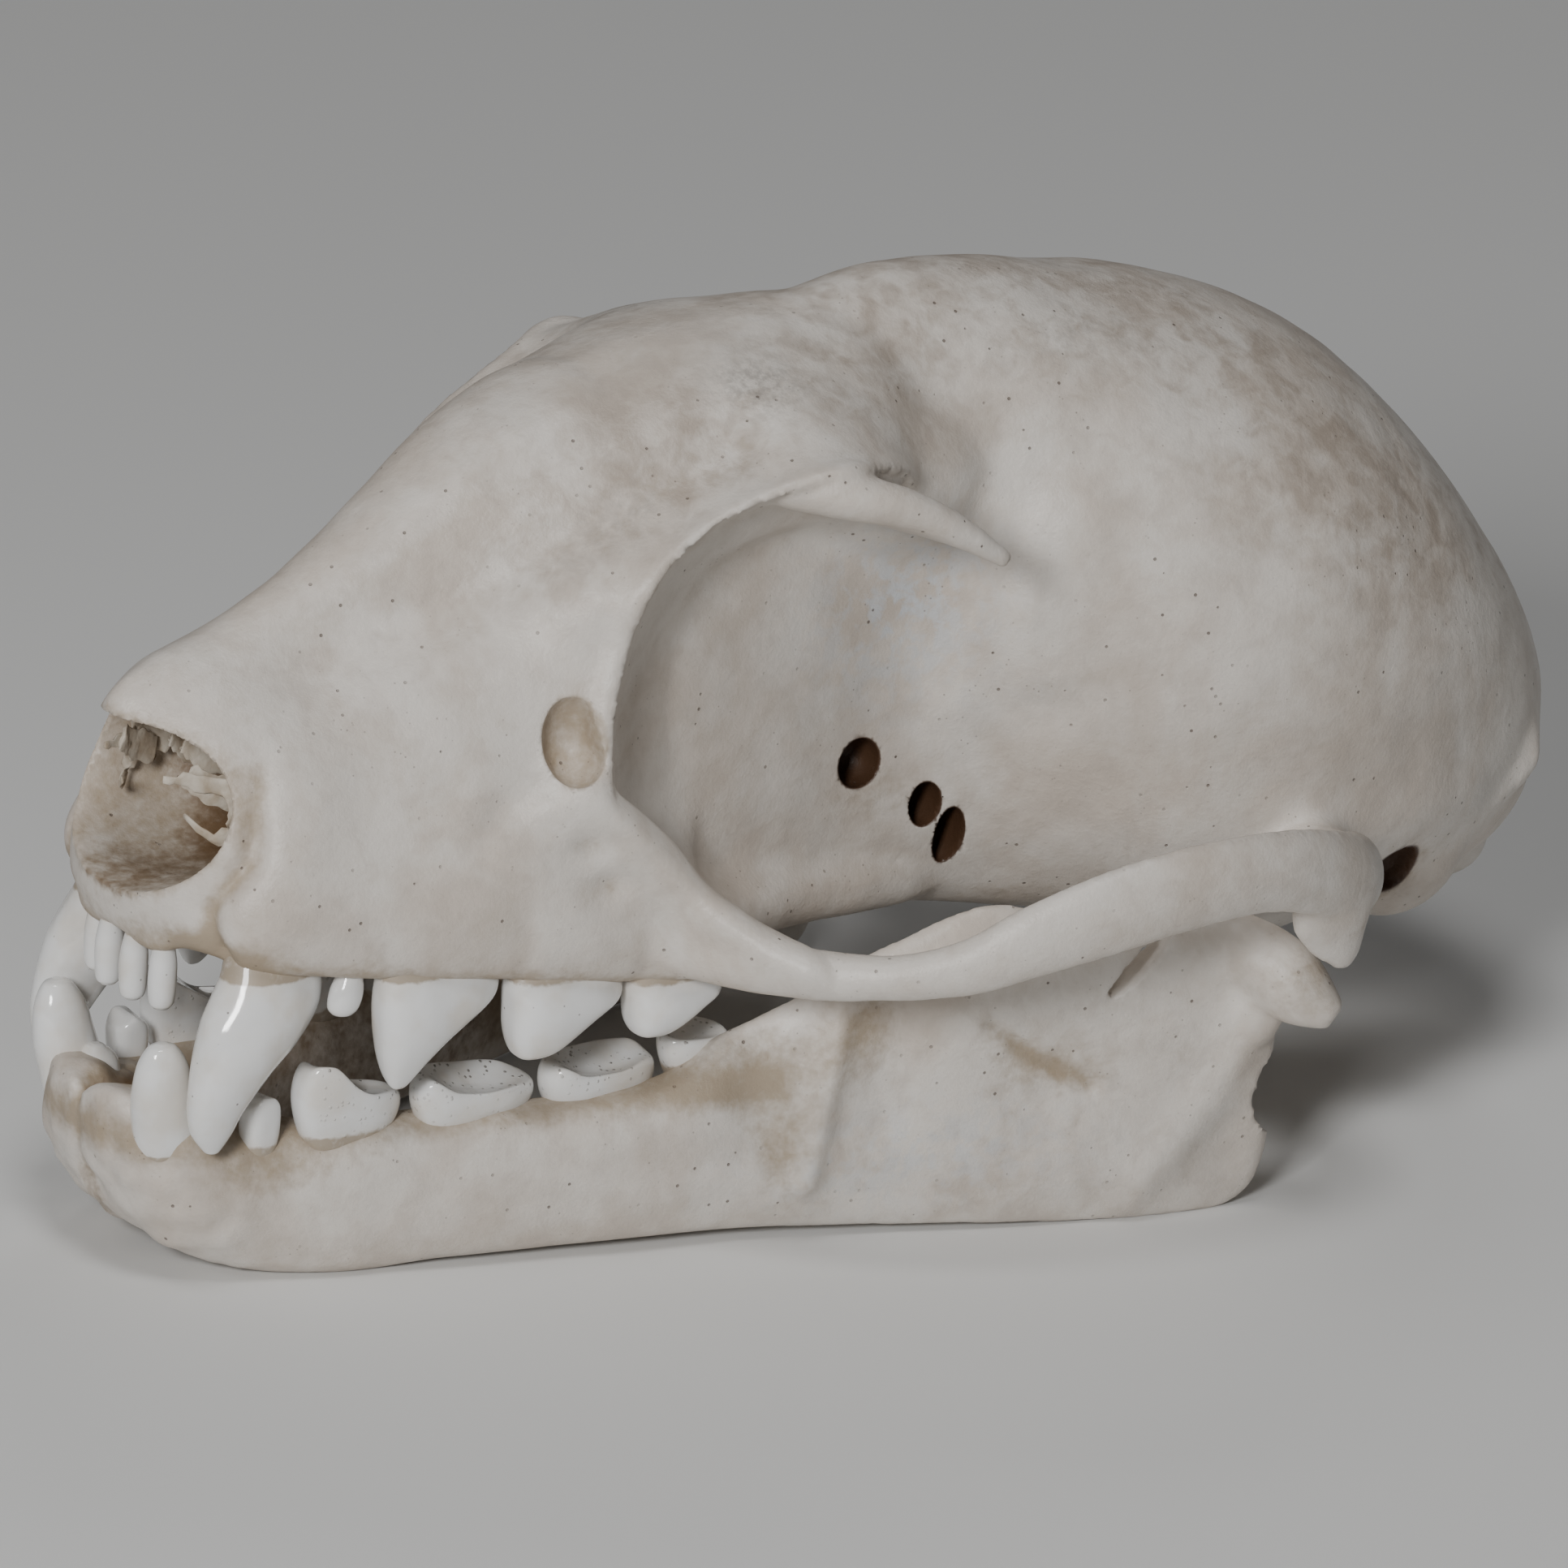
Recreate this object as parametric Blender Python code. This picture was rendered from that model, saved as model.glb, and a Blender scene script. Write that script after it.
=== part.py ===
# Skull of a small fruit bat, life size, lying on its lower jaw.
# The face points to -X, the skull's left side to -Y, and z = 0 is the floor.
# Sizes are written in millimetres and turned into metres by MM.

import math

import bmesh
import bpy
import numpy as np
from mathutils import Matrix, Vector

MM = 0.001
GAP = 0.3
RING_POINTS = 28
TOOTH_POINTS = 10
NOSE_POINTS = 20
BAR_POINTS = 10
NOTCH_POINTS = 16
EGG_POINTS = 24
LUMP_POINTS = 16
PIT_POINTS = 12
ORBIT_POINTS = 28
FACE_RINGS = 22
ROOF_RINGS = 13
BRAINCASE_RINGS = 24
PALATE_RINGS = 10
ARCH_RINGS = 24
PLATE_RINGS = 14
SPINE_RINGS = 8
HOOK_RINGS = 7
ROLL_RINGS = 8
JAW_RINGS = 34
EYE_TOOTH_RINGS = 7
SHARP_ANGLE = math.radians(50)
LEFT = -1
RIGHT = 1

BONE_COLOUR = (0.70, 0.65, 0.59, 1.0)
BONE_ROUGHNESS = 0.55

# Upper alveolar line: where the upper teeth leave the bone, from front to back.
UPPER_GUM_FRONT = (-15.0, 7.05)
UPPER_GUM_BACK = (-5.2, 5.45)
TOOTH_SINK = 0.9

# One row for each station along the face: x, top z, widest z, bottom z, half width,
# power of the upper arc, power of the lower arc.
FACE_STATIONS = [
    (-15.60, 11.25, 9.40, 8.00, 0.50, 2.0, 2.0),
    (-15.50, 11.50, 8.40, 7.00, 1.05, 1.6, 2.4),
    (-15.10, 11.75, 7.80, 6.85, 1.95, 1.5, 3.4),
    (-14.40, 12.00, 7.60, 6.75, 2.75, 1.6, 5.0),
    (-13.40, 12.28, 7.50, 6.58, 3.38, 1.55, 7.0),
    (-12.00, 12.90, 7.40, 6.32, 3.75, 1.45, 8.0),
    (-10.80, 13.65, 7.40, 6.10, 4.05, 1.45, 8.0),
    (-9.40, 14.60, 7.60, 5.86, 4.35, 1.5, 8.0),
    (-8.20, 15.35, 7.90, 5.62, 4.60, 1.55, 8.0),
    (-7.00, 15.85, 8.20, 5.42, 4.88, 1.65, 8.0),
    (-5.80, 16.20, 8.40, 5.25, 4.95, 1.8, 8.0),
    (-5.00, 15.50, 8.60, 5.30, 4.70, 2.0, 5.0),
    (-4.40, 12.80, 9.00, 6.00, 2.80, 2.0, 2.4),
]

# The roof over the eyes, whose edge is the upper rim of the orbit.
ROOF_STATIONS = [
    (-9.60, 13.85, 12.40, 10.80, 1.90, 1.8, 2.0),
    (-8.60, 14.60, 12.50, 10.40, 2.90, 1.6, 2.0),
    (-7.60, 15.30, 12.75, 10.40, 3.75, 1.5, 2.0),
    (-6.40, 15.90, 13.20, 10.90, 4.25, 1.5, 2.0),
    (-5.00, 16.32, 13.90, 12.00, 4.55, 1.45, 2.0),
    (-3.60, 16.55, 14.40, 12.80, 4.85, 1.5, 2.0),
    (-2.40, 16.60, 14.45, 13.00, 4.95, 1.5, 2.0),
    (-1.40, 16.62, 14.20, 12.80, 4.60, 1.5, 2.0),
    (-0.50, 16.64, 13.85, 12.50, 3.90, 1.6, 2.0),
    (0.70, 16.30, 13.30, 12.00, 3.05, 1.8, 2.0),
    (2.20, 15.00, 12.60, 11.60, 2.10, 2.0, 2.0),
]

# The middle of the skull between the eyes and the braincase behind it.
BRAINCASE_STATIONS = [
    (-8.60, 13.60, 10.60, 7.60, 1.40, 2.0, 2.0),
    (-7.60, 15.00, 10.60, 6.30, 2.20, 2.2, 2.6),
    (-5.00, 16.00, 10.60, 5.00, 2.70, 2.2, 4.0),
    (-2.40, 16.35, 10.60, 4.85, 2.65, 2.2, 4.0),
    (-0.40, 16.68, 10.40, 4.70, 2.60, 2.2, 4.0),
    (1.60, 16.90, 10.20, 4.50, 3.20, 2.1, 3.6),
    (3.40, 16.70, 9.80, 4.20, 4.50, 2.0, 3.2),
    (5.40, 16.28, 9.40, 3.85, 5.70, 2.0, 3.0),
    (7.60, 15.78, 9.00, 3.50, 6.30, 2.0, 2.9),
    (9.80, 15.00, 8.50, 3.20, 6.15, 2.0, 2.8),
    (11.80, 13.65, 7.90, 3.00, 5.55, 2.0, 2.7),
    (13.60, 11.75, 7.30, 3.00, 4.70, 2.0, 2.6),
    (14.80, 10.05, 7.00, 3.30, 3.85, 2.0, 2.5),
    (15.60, 8.70, 6.90, 4.30, 2.80, 2.0, 2.2),
    (15.95, 7.65, 6.85, 5.80, 1.40, 2.0, 2.0),
]

# The floor under the eyes, from the back of the palate to the throat.
PALATE_STATIONS = [
    (-7.60, 7.00, 6.30, 5.60, 3.80, 2.4, 3.0),
    (-5.60, 7.10, 6.10, 5.20, 4.55, 2.2, 3.4),
    (-4.20, 6.95, 6.00, 5.10, 4.00, 2.2, 3.4),
    (-2.80, 6.80, 5.90, 4.98, 3.30, 2.2, 3.4),
    (-1.20, 6.60, 5.75, 4.80, 2.80, 2.2, 3.4),
    (1.00, 6.40, 5.60, 4.70, 2.60, 2.2, 3.0),
    (2.60, 6.20, 5.50, 4.80, 2.20, 2.0, 2.4),
]

# The eye socket is carved by a round-cornered block: centre and half sizes.
ORBIT_CENTRE = (-2.35, 7.60, 10.20)
ORBIT_HALF = (5.85, 5.20, 5.10)
ORBIT_POWER = 2.6

# Cheek arch: x, distance from the middle, z, half height, half thickness.
ARCH_PATH = [
    (-6.90, 3.30, 7.40, 1.20, 0.70),
    (-6.00, 4.70, 6.62, 0.95, 0.62),
    (-4.90, 6.05, 6.12, 0.60, 0.50),
    (-3.55, 7.50, 6.14, 0.44, 0.42),
    (-2.20, 8.45, 6.42, 0.54, 0.38),
    (-1.05, 9.05, 6.95, 0.72, 0.36),
    (0.30, 9.55, 7.42, 0.84, 0.36),
    (1.90, 9.88, 7.72, 0.84, 0.36),
    (3.60, 9.92, 7.70, 0.80, 0.38),
    (5.00, 9.65, 7.34, 0.86, 0.45),
    (6.20, 9.00, 6.84, 0.85, 0.60),
    (6.95, 7.80, 6.30, 0.80, 0.75),
    (7.40, 6.40, 5.95, 0.80, 0.80),
    (7.60, 4.80, 5.80, 0.80, 0.80),
]
ARCH_RING_POINTS = 12

# Plate in front of the cheek arch: x, distance from the middle, z, half height,
# half thickness.
CHEEK_PLATE_PATH = [
    (-9.80, 3.90, 8.30, 0.60, 0.25),
    (-8.90, 4.10, 8.38, 1.20, 0.42),
    (-8.10, 4.30, 8.25, 1.42, 0.43),
    (-7.20, 4.46, 7.62, 1.35, 0.43),
    (-6.66, 4.56, 7.17, 1.15, 0.43),
    (-6.16, 4.72, 6.77, 0.93, 0.42),
    (-5.70, 4.95, 6.52, 0.70, 0.42),
    (-5.20, 5.40, 6.32, 0.58, 0.42),
    (-4.70, 6.00, 6.18, 0.52, 0.42),
]

# Spine over the eye, behind the roof: x, distance from the middle, z, radius.
SPINE_PATH = [
    (-3.60, 3.90, 14.70, 0.55),
    (-2.60, 4.75, 14.52, 0.48),
    (-1.60, 5.20, 14.22, 0.38),
    (-0.60, 5.50, 13.68, 0.30),
    (0.32, 5.75, 13.05, 0.15),
]

# Hook behind the jaw joint: x, distance from the middle, z, half length, half thickness.
HOOK_PATH = [
    (5.45, 9.15, 7.00, 1.10, 0.45),
    (5.60, 9.20, 6.40, 1.02, 0.42),
    (5.80, 9.20, 5.85, 0.74, 0.36),
    (5.95, 9.20, 5.40, 0.46, 0.28),
    (6.00, 9.20, 5.05, 0.15, 0.14),
]

# Nose opening, cut from the front: x, half width, half height.
NOSE_HEIGHT = 9.42
NOSE_ROWS = [
    (-16.50, 2.55, 1.65),
    (-15.00, 2.45, 1.65),
    (-14.10, 2.22, 1.65),
    (-13.00, 1.85, 1.50),
    (-11.80, 1.05, 1.00),
]

# Holes and pits on each side: centre (x, distance from the middle, z), half sizes.
SIDE_PITS = {
    "infraorbital_hole": ((-8.12, 4.15, 10.52), (0.55, 0.75, 0.85)),
    "optic_hole": ((-0.55, 2.45, 8.25), (0.45, 0.60, 0.50)),
    "sphenoid_hole": ((1.25, 2.75, 6.60), (0.50, 0.70, 0.95)),
    "ear_hole": ((10.30, 5.60, 4.70), (0.70, 1.20, 0.70)),
}
SPINAL_HOLE_CENTRE = (15.6, 0.0, 5.2)
SPINAL_HOLE_HALF = (1.6, 2.0, 1.45)

# Lumps on the cranium: centre (x, distance from the middle, z), half sizes.
SIDE_LUMPS = {
    "eye_tooth_root": ((-13.65, 2.38, 7.65), (1.20, 0.85, 1.10)),
    "cochlea": ((8.90, 2.60, 4.15), (1.90, 1.35, 1.15)),
    "mastoid": ((11.30, 4.00, 4.60), (1.60, 0.95, 1.35)),
    "condyle": ((14.40, 1.75, 3.70), (0.95, 0.80, 0.95)),
}

# Upper cheek teeth: x front, x back, x of the tip, distance from the middle, tip z,
# half width.
UPPER_CHEEK_TEETH = {
    "peg": (-12.60, -11.95, -12.38, 3.15, 5.68, 0.28),
    "third_premolar": (-11.82, -9.28, -11.40, 3.38, 4.12, 0.64),
    "fourth_premolar": (-9.20, -6.82, -8.75, 3.76, 4.35, 0.70),
    "molar": (-6.76, -4.80, -6.32, 4.10, 4.42, 0.64),
}

# Lower cheek teeth: x front, x back, x of the tip, distance from the middle, tip z,
# half width.
LOWER_CHEEK_TEETH = {
    "first_premolar": (-13.85, -13.05, -13.50, 2.25, 4.05, 0.36),
    "third_premolar": (-13.00, -10.80, -12.60, 2.58, 4.70, 0.50),
    "fourth_premolar": (-10.62, -8.15, -10.25, 2.95, 4.20, 0.54),
    "first_molar": (-8.05, -5.65, -7.40, 3.30, 4.10, 0.54),
    "second_molar": (-5.60, -4.20, -5.00, 3.62, 4.28, 0.46),
}
LOWER_GUM = 3.20

# Outline of a cheek tooth: share of the crown's height, how far the front and the back
# edge have moved toward the tip, and share of the full width.
TOOTH_CORNER = 0.8
UPPER_PROFILE = [
    (-0.45, 0.12, 0.12, 0.75),
    (0.00, 0.04, 0.05, 0.96),
    (0.30, 0.00, 0.00, 1.00),
    (0.60, 0.12, 0.38, 0.82),
    (0.85, 0.42, 0.72, 0.55),
    (1.00, 0.80, 0.90, 0.20),
]
LOWER_PROFILE = [
    (-0.45, 0.15, 0.15, 0.75),
    (0.00, 0.06, 0.06, 0.96),
    (0.40, 0.00, 0.00, 1.00),
    (0.70, 0.12, 0.22, 0.88),
    (0.88, 0.40, 0.60, 0.60),
    (1.00, 0.85, 0.88, 0.22),
]

# Eye teeth: rows of x, distance from the middle, z, half length, half width.
UPPER_CANINE = [
    (-13.30, 2.20, 8.00, 0.70, 0.48),
    (-13.52, 2.42, 6.90, 0.92, 0.62),
    (-13.58, 2.52, 6.50, 1.02, 0.68),
    (-13.82, 2.60, 5.85, 1.18, 0.72),
    (-14.16, 2.66, 5.25, 1.06, 0.66),
    (-14.52, 2.70, 4.70, 0.82, 0.55),
    (-14.78, 2.70, 4.14, 0.60, 0.43),
    (-14.88, 2.70, 3.68, 0.42, 0.31),
    (-14.87, 2.70, 3.27, 0.13, 0.11),
]
LOWER_CANINE = [
    (-14.85, 1.40, 2.30, 0.50, 0.42),
    (-15.10, 1.55, 2.95, 0.62, 0.48),
    (-15.20, 1.62, 3.50, 0.66, 0.50),
    (-15.32, 1.70, 4.15, 0.62, 0.48),
    (-15.38, 1.76, 4.75, 0.50, 0.40),
    (-15.42, 1.80, 5.12, 0.30, 0.25),
    (-15.42, 1.80, 5.22, 0.10, 0.09),
]
UPPER_INCISORS = [(-15.15, 0.42), (-14.95, 1.10)]
INCISOR_TIP = 5.55
INCISOR_HALF = 0.24
INCISOR_SINK = 0.45
INCISOR_NECK_SHARE = 0.8
INCISOR_BULB_SHARE = 1.1
INCISOR_BULB_HEIGHT = 0.4
INCISOR_TIP_SHARE = 0.6
INCISOR_TIP_SHIFT = 0.08

# Lower jaw, left half: x, distance from the middle, bottom z, top z, half thickness.
JAW_STATIONS = [
    (-16.10, 0.45, 2.95, 3.90, 0.35),
    (-15.85, 0.70, 2.10, 4.05, 0.80),
    (-15.25, 1.00, 1.22, 3.95, 1.15),
    (-14.40, 1.25, 0.64, 3.50, 1.32),
    (-13.40, 1.60, 0.34, 3.25, 1.25),
    (-12.20, 2.25, 0.25, 3.20, 0.98),
    (-11.30, 2.57, 0.25, 3.20, 0.86),
    (-10.20, 2.92, 0.33, 3.20, 0.82),
    (-8.40, 3.40, 0.31, 3.18, 0.78),
    (-6.00, 4.00, 0.28, 3.30, 0.76),
    (-4.60, 4.40, 0.25, 4.10, 0.68),
    (-3.20, 4.90, 0.18, 4.85, 0.58),
    (-1.50, 5.55, 0.08, 5.85, 0.46),
    (-0.10, 6.10, 0.00, 6.46, 0.42),
    (1.20, 6.50, -0.10, 6.15, 0.42),
    (2.60, 6.85, -0.21, 5.70, 0.42),
    (3.90, 7.10, -0.30, 5.66, 0.44),
    (4.90, 7.25, -0.28, 5.70, 0.44),
    (5.50, 7.35, 0.05, 5.20, 0.38),
    (5.80, 7.38, 0.65, 4.50, 0.22),
]
JAW_POWER = 2.6
JAW_POINTS = 16

# Jaw joint roll: x, distance from the middle, z, radius.
ROLL_PATH = [
    (4.55, 6.30, 5.20, 0.30),
    (4.85, 6.90, 5.22, 0.48),
    (5.20, 7.60, 4.92, 0.68),
    (5.60, 8.40, 4.50, 0.62),
    (5.98, 9.10, 4.05, 0.26),
]

NOTCH_REACH = (5.0, 9.8)

# Notches in the jaw's edges: centre x and z, half length, half height, turn in degrees.
JAW_NOTCHES = {
    "upper_notch": (2.88, 5.08, 0.88, 0.16, 42.0),
    "rear_notch": (6.28, 2.00, 0.95, 0.98, 0.0),
}

# The jaw's lower edge slopes by this turn in the rows above; the skull is turned about
# the Y axis and moved by this shift (x, z) so that the edge lies on the floor.
LEVEL_TURN = 1.88
LEVEL_SHIFT = (0.253, 0.08)

# Cuts that part the skull into its pieces: the place of each cut, and the corners of
# the region that it passes through.
FACE_CUT_X = -5.1
FACE_CUT_REACH = (5.25, 3.0, 18.0)
ARCH_FRONT_CUT_Y = 5.35
ARCH_FRONT_REACH = ((-9.0, 4.5), (-2.0, 10.0))
ARCH_BACK_CUT_Y = 6.65
ARCH_BACK_REACH = ((3.5, 4.0), (10.5, 10.0))
ARCH_LEAST_Y = 3.0
CRANIUM_PARTS = 4
CHIN_REACH = ((-18.0, -1.0), (-8.0, 6.0))
CHIN_DEPTH = 3.0
FLOOR_REACH = ((-18.0, -12.0), (8.0, 12.0))


def place(x, y, z):
    """Turn millimetres into a point in metres."""
    return Vector((x * MM, y * MM, z * MM))


def spline(rows, count):
    """Evenly spaced rows of a smooth curve through the given rows."""
    rows = np.array(rows, float)
    last = len(rows) - 1
    padded = np.vstack([2 * rows[0] - rows[1], rows, 2 * rows[-1] - rows[-2]])
    result = []
    for t in np.linspace(0.0, last, count):
        i = min(int(t), last - 1)
        u = t - i
        a, b, c, d = padded[i:i + 4]
        result.append(0.5 * (2 * b + (c - a) * u + (2 * a - 5 * b + 4 * c - d) * u ** 2
                             + (3 * b - a - 3 * c + d) * u ** 3))
    return result


def signed_power(value, power):
    return math.copysign(abs(value) ** power, value)


def skull_ring(station, points=RING_POINTS):
    """Cross-section of the skull: two half ovals of their own height and power."""
    x, top, widest, bottom, half_width, upper_power, lower_power = station
    ring = []
    for k in range(points):
        angle = 2 * math.pi * k / points
        c, s = math.cos(angle), math.sin(angle)
        power = upper_power if s >= 0 else lower_power
        height = top - widest if s >= 0 else widest - bottom
        y = half_width * signed_power(c, 2 / power)
        z = widest + height * signed_power(s, 2 / power)
        ring.append(place(x, y, z))
    return ring


def path_rings(rows, points, side):
    """Oval rings square to a path; each row is x, y, z, half height, half thickness."""
    rows = [row if len(row) == 5 else (*row, row[3]) for row in rows]
    centres = [Vector((row[0], side * row[1], row[2])) for row in rows]
    rings = []
    for i, row in enumerate(rows):
        before = centres[max(i - 1, 0)]
        after = centres[min(i + 1, len(rows) - 1)]
        along = (after - before).normalized()
        guide = Vector((0, 0, 1)) if abs(along.z) < 0.8 else Vector((1, 0, 0))
        across = along.cross(guide).normalized()
        up = across.cross(along)
        ring = []
        for k in range(points):
            angle = 2 * math.pi * k / points
            offset = up * (row[3] * math.sin(angle)) + across * (row[4] * math.cos(angle))
            ring.append((centres[i] + offset) * MM)
        rings.append(ring)
    return rings


def loft(name, rings):
    """Closed body through rings of equal point count, with flat ends."""
    bm = bmesh.new()
    loops = [[bm.verts.new(p) for p in ring] for ring in rings]
    count = len(rings[0])
    for first, second in zip(loops, loops[1:]):
        for k in range(count):
            j = (k + 1) % count
            bm.faces.new((first[k], first[j], second[j], second[k]))
    bm.faces.new(loops[0])
    bm.faces.new(loops[-1])
    bmesh.ops.recalc_face_normals(bm, faces=bm.faces)
    mesh = bpy.data.meshes.new(name)
    bm.to_mesh(mesh)
    bm.free()
    body = bpy.data.objects.new(name, mesh)
    bpy.context.scene.collection.objects.link(body)
    return body


def egg(name, centre, half, side=RIGHT, power=2.0, segments=EGG_POINTS):
    """Rounded block with its half sizes along X, Y and Z."""
    bm = bmesh.new()
    bmesh.ops.create_uvsphere(bm, u_segments=segments, v_segments=segments // 2, radius=1.0)
    for vert in bm.verts:
        length = sum(abs(v) ** power for v in vert.co) ** (1 / power)
        vert.co = vert.co / length
        vert.co = place(centre[0] + half[0] * vert.co.x,
                        side * centre[1] + half[1] * vert.co.y,
                        centre[2] + half[2] * vert.co.z)
    mesh = bpy.data.meshes.new(name)
    bm.to_mesh(mesh)
    bm.free()
    body = bpy.data.objects.new(name, mesh)
    bpy.context.scene.collection.objects.link(body)
    return body


def slab(name, low, high):
    """Box between two corners."""
    bm = bmesh.new()
    bmesh.ops.create_cube(bm, size=1.0)
    for vert in bm.verts:
        vert.co = place(*[low[i] + (high[i] - low[i]) * (vert.co[i] + 0.5) for i in range(3)])
    mesh = bpy.data.meshes.new(name)
    bm.to_mesh(mesh)
    bm.free()
    body = bpy.data.objects.new(name, mesh)
    bpy.context.scene.collection.objects.link(body)
    return body


def apply_modifiers(body):
    graph = bpy.context.evaluated_depsgraph_get()
    mesh = bpy.data.meshes.new_from_object(body.evaluated_get(graph))
    body.modifiers.clear()
    body.data = mesh


def combine(body, others, operation):
    """Join other bodies to this one or cut them out of it, and remove them."""
    group = bpy.data.collections.new(body.name + "_tools")
    bpy.context.scene.collection.children.link(group)
    for other in others:
        bpy.context.scene.collection.objects.unlink(other)
        group.objects.link(other)
        other.hide_render = True
        other.display_type = "WIRE"
    boolean = body.modifiers.new("combine", "BOOLEAN")
    boolean.operation = operation
    boolean.operand_type = "COLLECTION"
    boolean.collection = group
    boolean.solver = "MANIFOLD"
    apply_modifiers(body)
    for other in others:
        bpy.data.objects.remove(other)
    bpy.data.collections.remove(group)
    return body


def loose_parts(body):
    """The mesh's separate surfaces as lists of face indices, the largest first."""
    bm = bmesh.new()
    bm.from_mesh(body.data)
    bm.faces.ensure_lookup_table()
    seen = set()
    parts = []
    for start in bm.faces:
        if start.index in seen:
            continue
        stack = [start]
        seen.add(start.index)
        part = []
        while stack:
            face = stack.pop()
            part.append(face.index)
            for edge in face.edges:
                for near in edge.link_faces:
                    if near.index not in seen:
                        seen.add(near.index)
                        stack.append(near)
        parts.append(part)
    bm.free()
    return sorted(parts, key=len, reverse=True)


def keep_faces(body, name, indices):
    """New body that holds only these faces of another one."""
    bm = bmesh.new()
    bm.from_mesh(body.data)
    wanted = set(indices)
    extra = [face for face in bm.faces if face.index not in wanted]
    bmesh.ops.delete(bm, geom=extra, context="FACES")
    mesh = bpy.data.meshes.new(name)
    bm.to_mesh(mesh)
    bm.free()
    part = bpy.data.objects.new(name, mesh)
    bpy.context.scene.collection.objects.link(part)
    return part


def upper_gum(x):
    """Height of the upper alveolar line at x."""
    share = (x - UPPER_GUM_FRONT[0]) / (UPPER_GUM_BACK[0] - UPPER_GUM_FRONT[0])
    return UPPER_GUM_FRONT[1] + share * (UPPER_GUM_BACK[1] - UPPER_GUM_FRONT[1])


def cheek_tooth(name, size, gum, side, profile):
    """Blade-shaped tooth whose front edge is steep and whose rear edge slopes to the tip."""
    front, back, tip_x, middle, tip_z, half_width = size
    toward_bone = 1 if gum > tip_z else -1
    rings = []
    for share, front_share, back_share, width_share in profile:
        z = gum + (tip_z - gum) * share
        if share < 0:
            z = gum + toward_bone * TOOTH_SINK
        x0 = front + (tip_x - front) * front_share
        x1 = back + (tip_x - back) * back_share
        ring = []
        for k in range(TOOTH_POINTS):
            angle = 2 * math.pi * k / TOOTH_POINTS
            x = (x0 + x1) / 2 + (x1 - x0) / 2 * signed_power(math.cos(angle), TOOTH_CORNER)
            y = half_width * width_share * signed_power(math.sin(angle), TOOTH_CORNER)
            ring.append(place(x, side * middle + y, z))
        rings.append(ring)
    return loft(name, rings)


def eye_tooth(name, rows, side):
    """Curved tooth from level rings of growing and shrinking size."""
    rings = []
    for x, middle, z, half_length, half_width in spline(rows, EYE_TOOTH_RINGS):
        ring = []
        for k in range(TOOTH_POINTS):
            angle = 2 * math.pi * k / TOOTH_POINTS
            ring.append(place(x + half_length * math.cos(angle),
                              side * middle + half_width * math.sin(angle), z))
        rings.append(ring)
    return loft(name, rings)


def incisor(name, x, middle, side):
    neck = INCISOR_HALF * INCISOR_NECK_SHARE
    bulb = INCISOR_HALF * INCISOR_BULB_SHARE
    tip = INCISOR_HALF * INCISOR_TIP_SHARE
    gum = upper_gum(x)
    rows = [(x, middle, gum + INCISOR_SINK, neck, neck),
            (x, middle, gum, INCISOR_HALF, INCISOR_HALF),
            (x, middle, INCISOR_TIP + INCISOR_BULB_HEIGHT, bulb, bulb),
            (x - INCISOR_TIP_SHIFT, middle, INCISOR_TIP, tip, tip)]
    return eye_tooth(name, rows, side)


def side_pieces_of_cranium(side):
    """What grows from one side of the cranium."""
    pieces = [
        loft("arch", path_rings(spline(ARCH_PATH, ARCH_RINGS), ARCH_RING_POINTS, side)),
        loft("plate", path_rings(spline(CHEEK_PLATE_PATH, PLATE_RINGS), BAR_POINTS, side)),
        loft("spine", path_rings(spline(SPINE_PATH, SPINE_RINGS), BAR_POINTS, side)),
        loft("hook", path_rings(spline(HOOK_PATH, HOOK_RINGS), BAR_POINTS, side)),
        eye_tooth("canine", UPPER_CANINE, side),
    ]
    for name, (centre, half) in SIDE_LUMPS.items():
        pieces.append(egg(name, centre, half, side, segments=LUMP_POINTS))
    for x, middle in UPPER_INCISORS:
        pieces.append(incisor("incisor", x, middle, side))
    for name, size in UPPER_CHEEK_TEETH.items():
        pieces.append(cheek_tooth(name, size, upper_gum((size[0] + size[1]) / 2), side,
                                  UPPER_PROFILE))
    return pieces


def nose_cutter():
    rings = []
    for x, half_width, half_height in NOSE_ROWS:
        ring = []
        for k in range(NOSE_POINTS):
            angle = 2 * math.pi * k / NOSE_POINTS
            ring.append(place(x, half_width * math.cos(angle),
                              NOSE_HEIGHT + half_height * math.sin(angle)))
        rings.append(ring)
    return loft("nose", rings)


def build_cranium():
    """The whole cranium in one body, with its arches and upper teeth."""
    cranium = loft("cranium", [skull_ring(s) for s in spline(FACE_STATIONS, FACE_RINGS)])
    roof = loft("roof", [skull_ring(s) for s in spline(ROOF_STATIONS, ROOF_RINGS)])
    brain = loft("brain", [skull_ring(s) for s in spline(BRAINCASE_STATIONS, BRAINCASE_RINGS)])
    orbits = [egg("orbit", ORBIT_CENTRE, ORBIT_HALF, side, ORBIT_POWER, ORBIT_POINTS)
              for side in (LEFT, RIGHT)]
    combine(cranium, [roof], "UNION")
    combine(cranium, orbits, "DIFFERENCE")
    palate = loft("palate", [skull_ring(s) for s in spline(PALATE_STATIONS, PALATE_RINGS)])
    grown = [brain, palate]
    for side in (LEFT, RIGHT):
        grown += side_pieces_of_cranium(side)
    combine(cranium, grown, "UNION")
    holes = [nose_cutter(), egg("spinal_hole", SPINAL_HOLE_CENTRE, SPINAL_HOLE_HALF)]
    for side in (LEFT, RIGHT):
        for name, (centre, half) in SIDE_PITS.items():
            holes.append(egg(name, centre, half, side, segments=PIT_POINTS))
    combine(cranium, holes, "DIFFERENCE")
    return cranium


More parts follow.
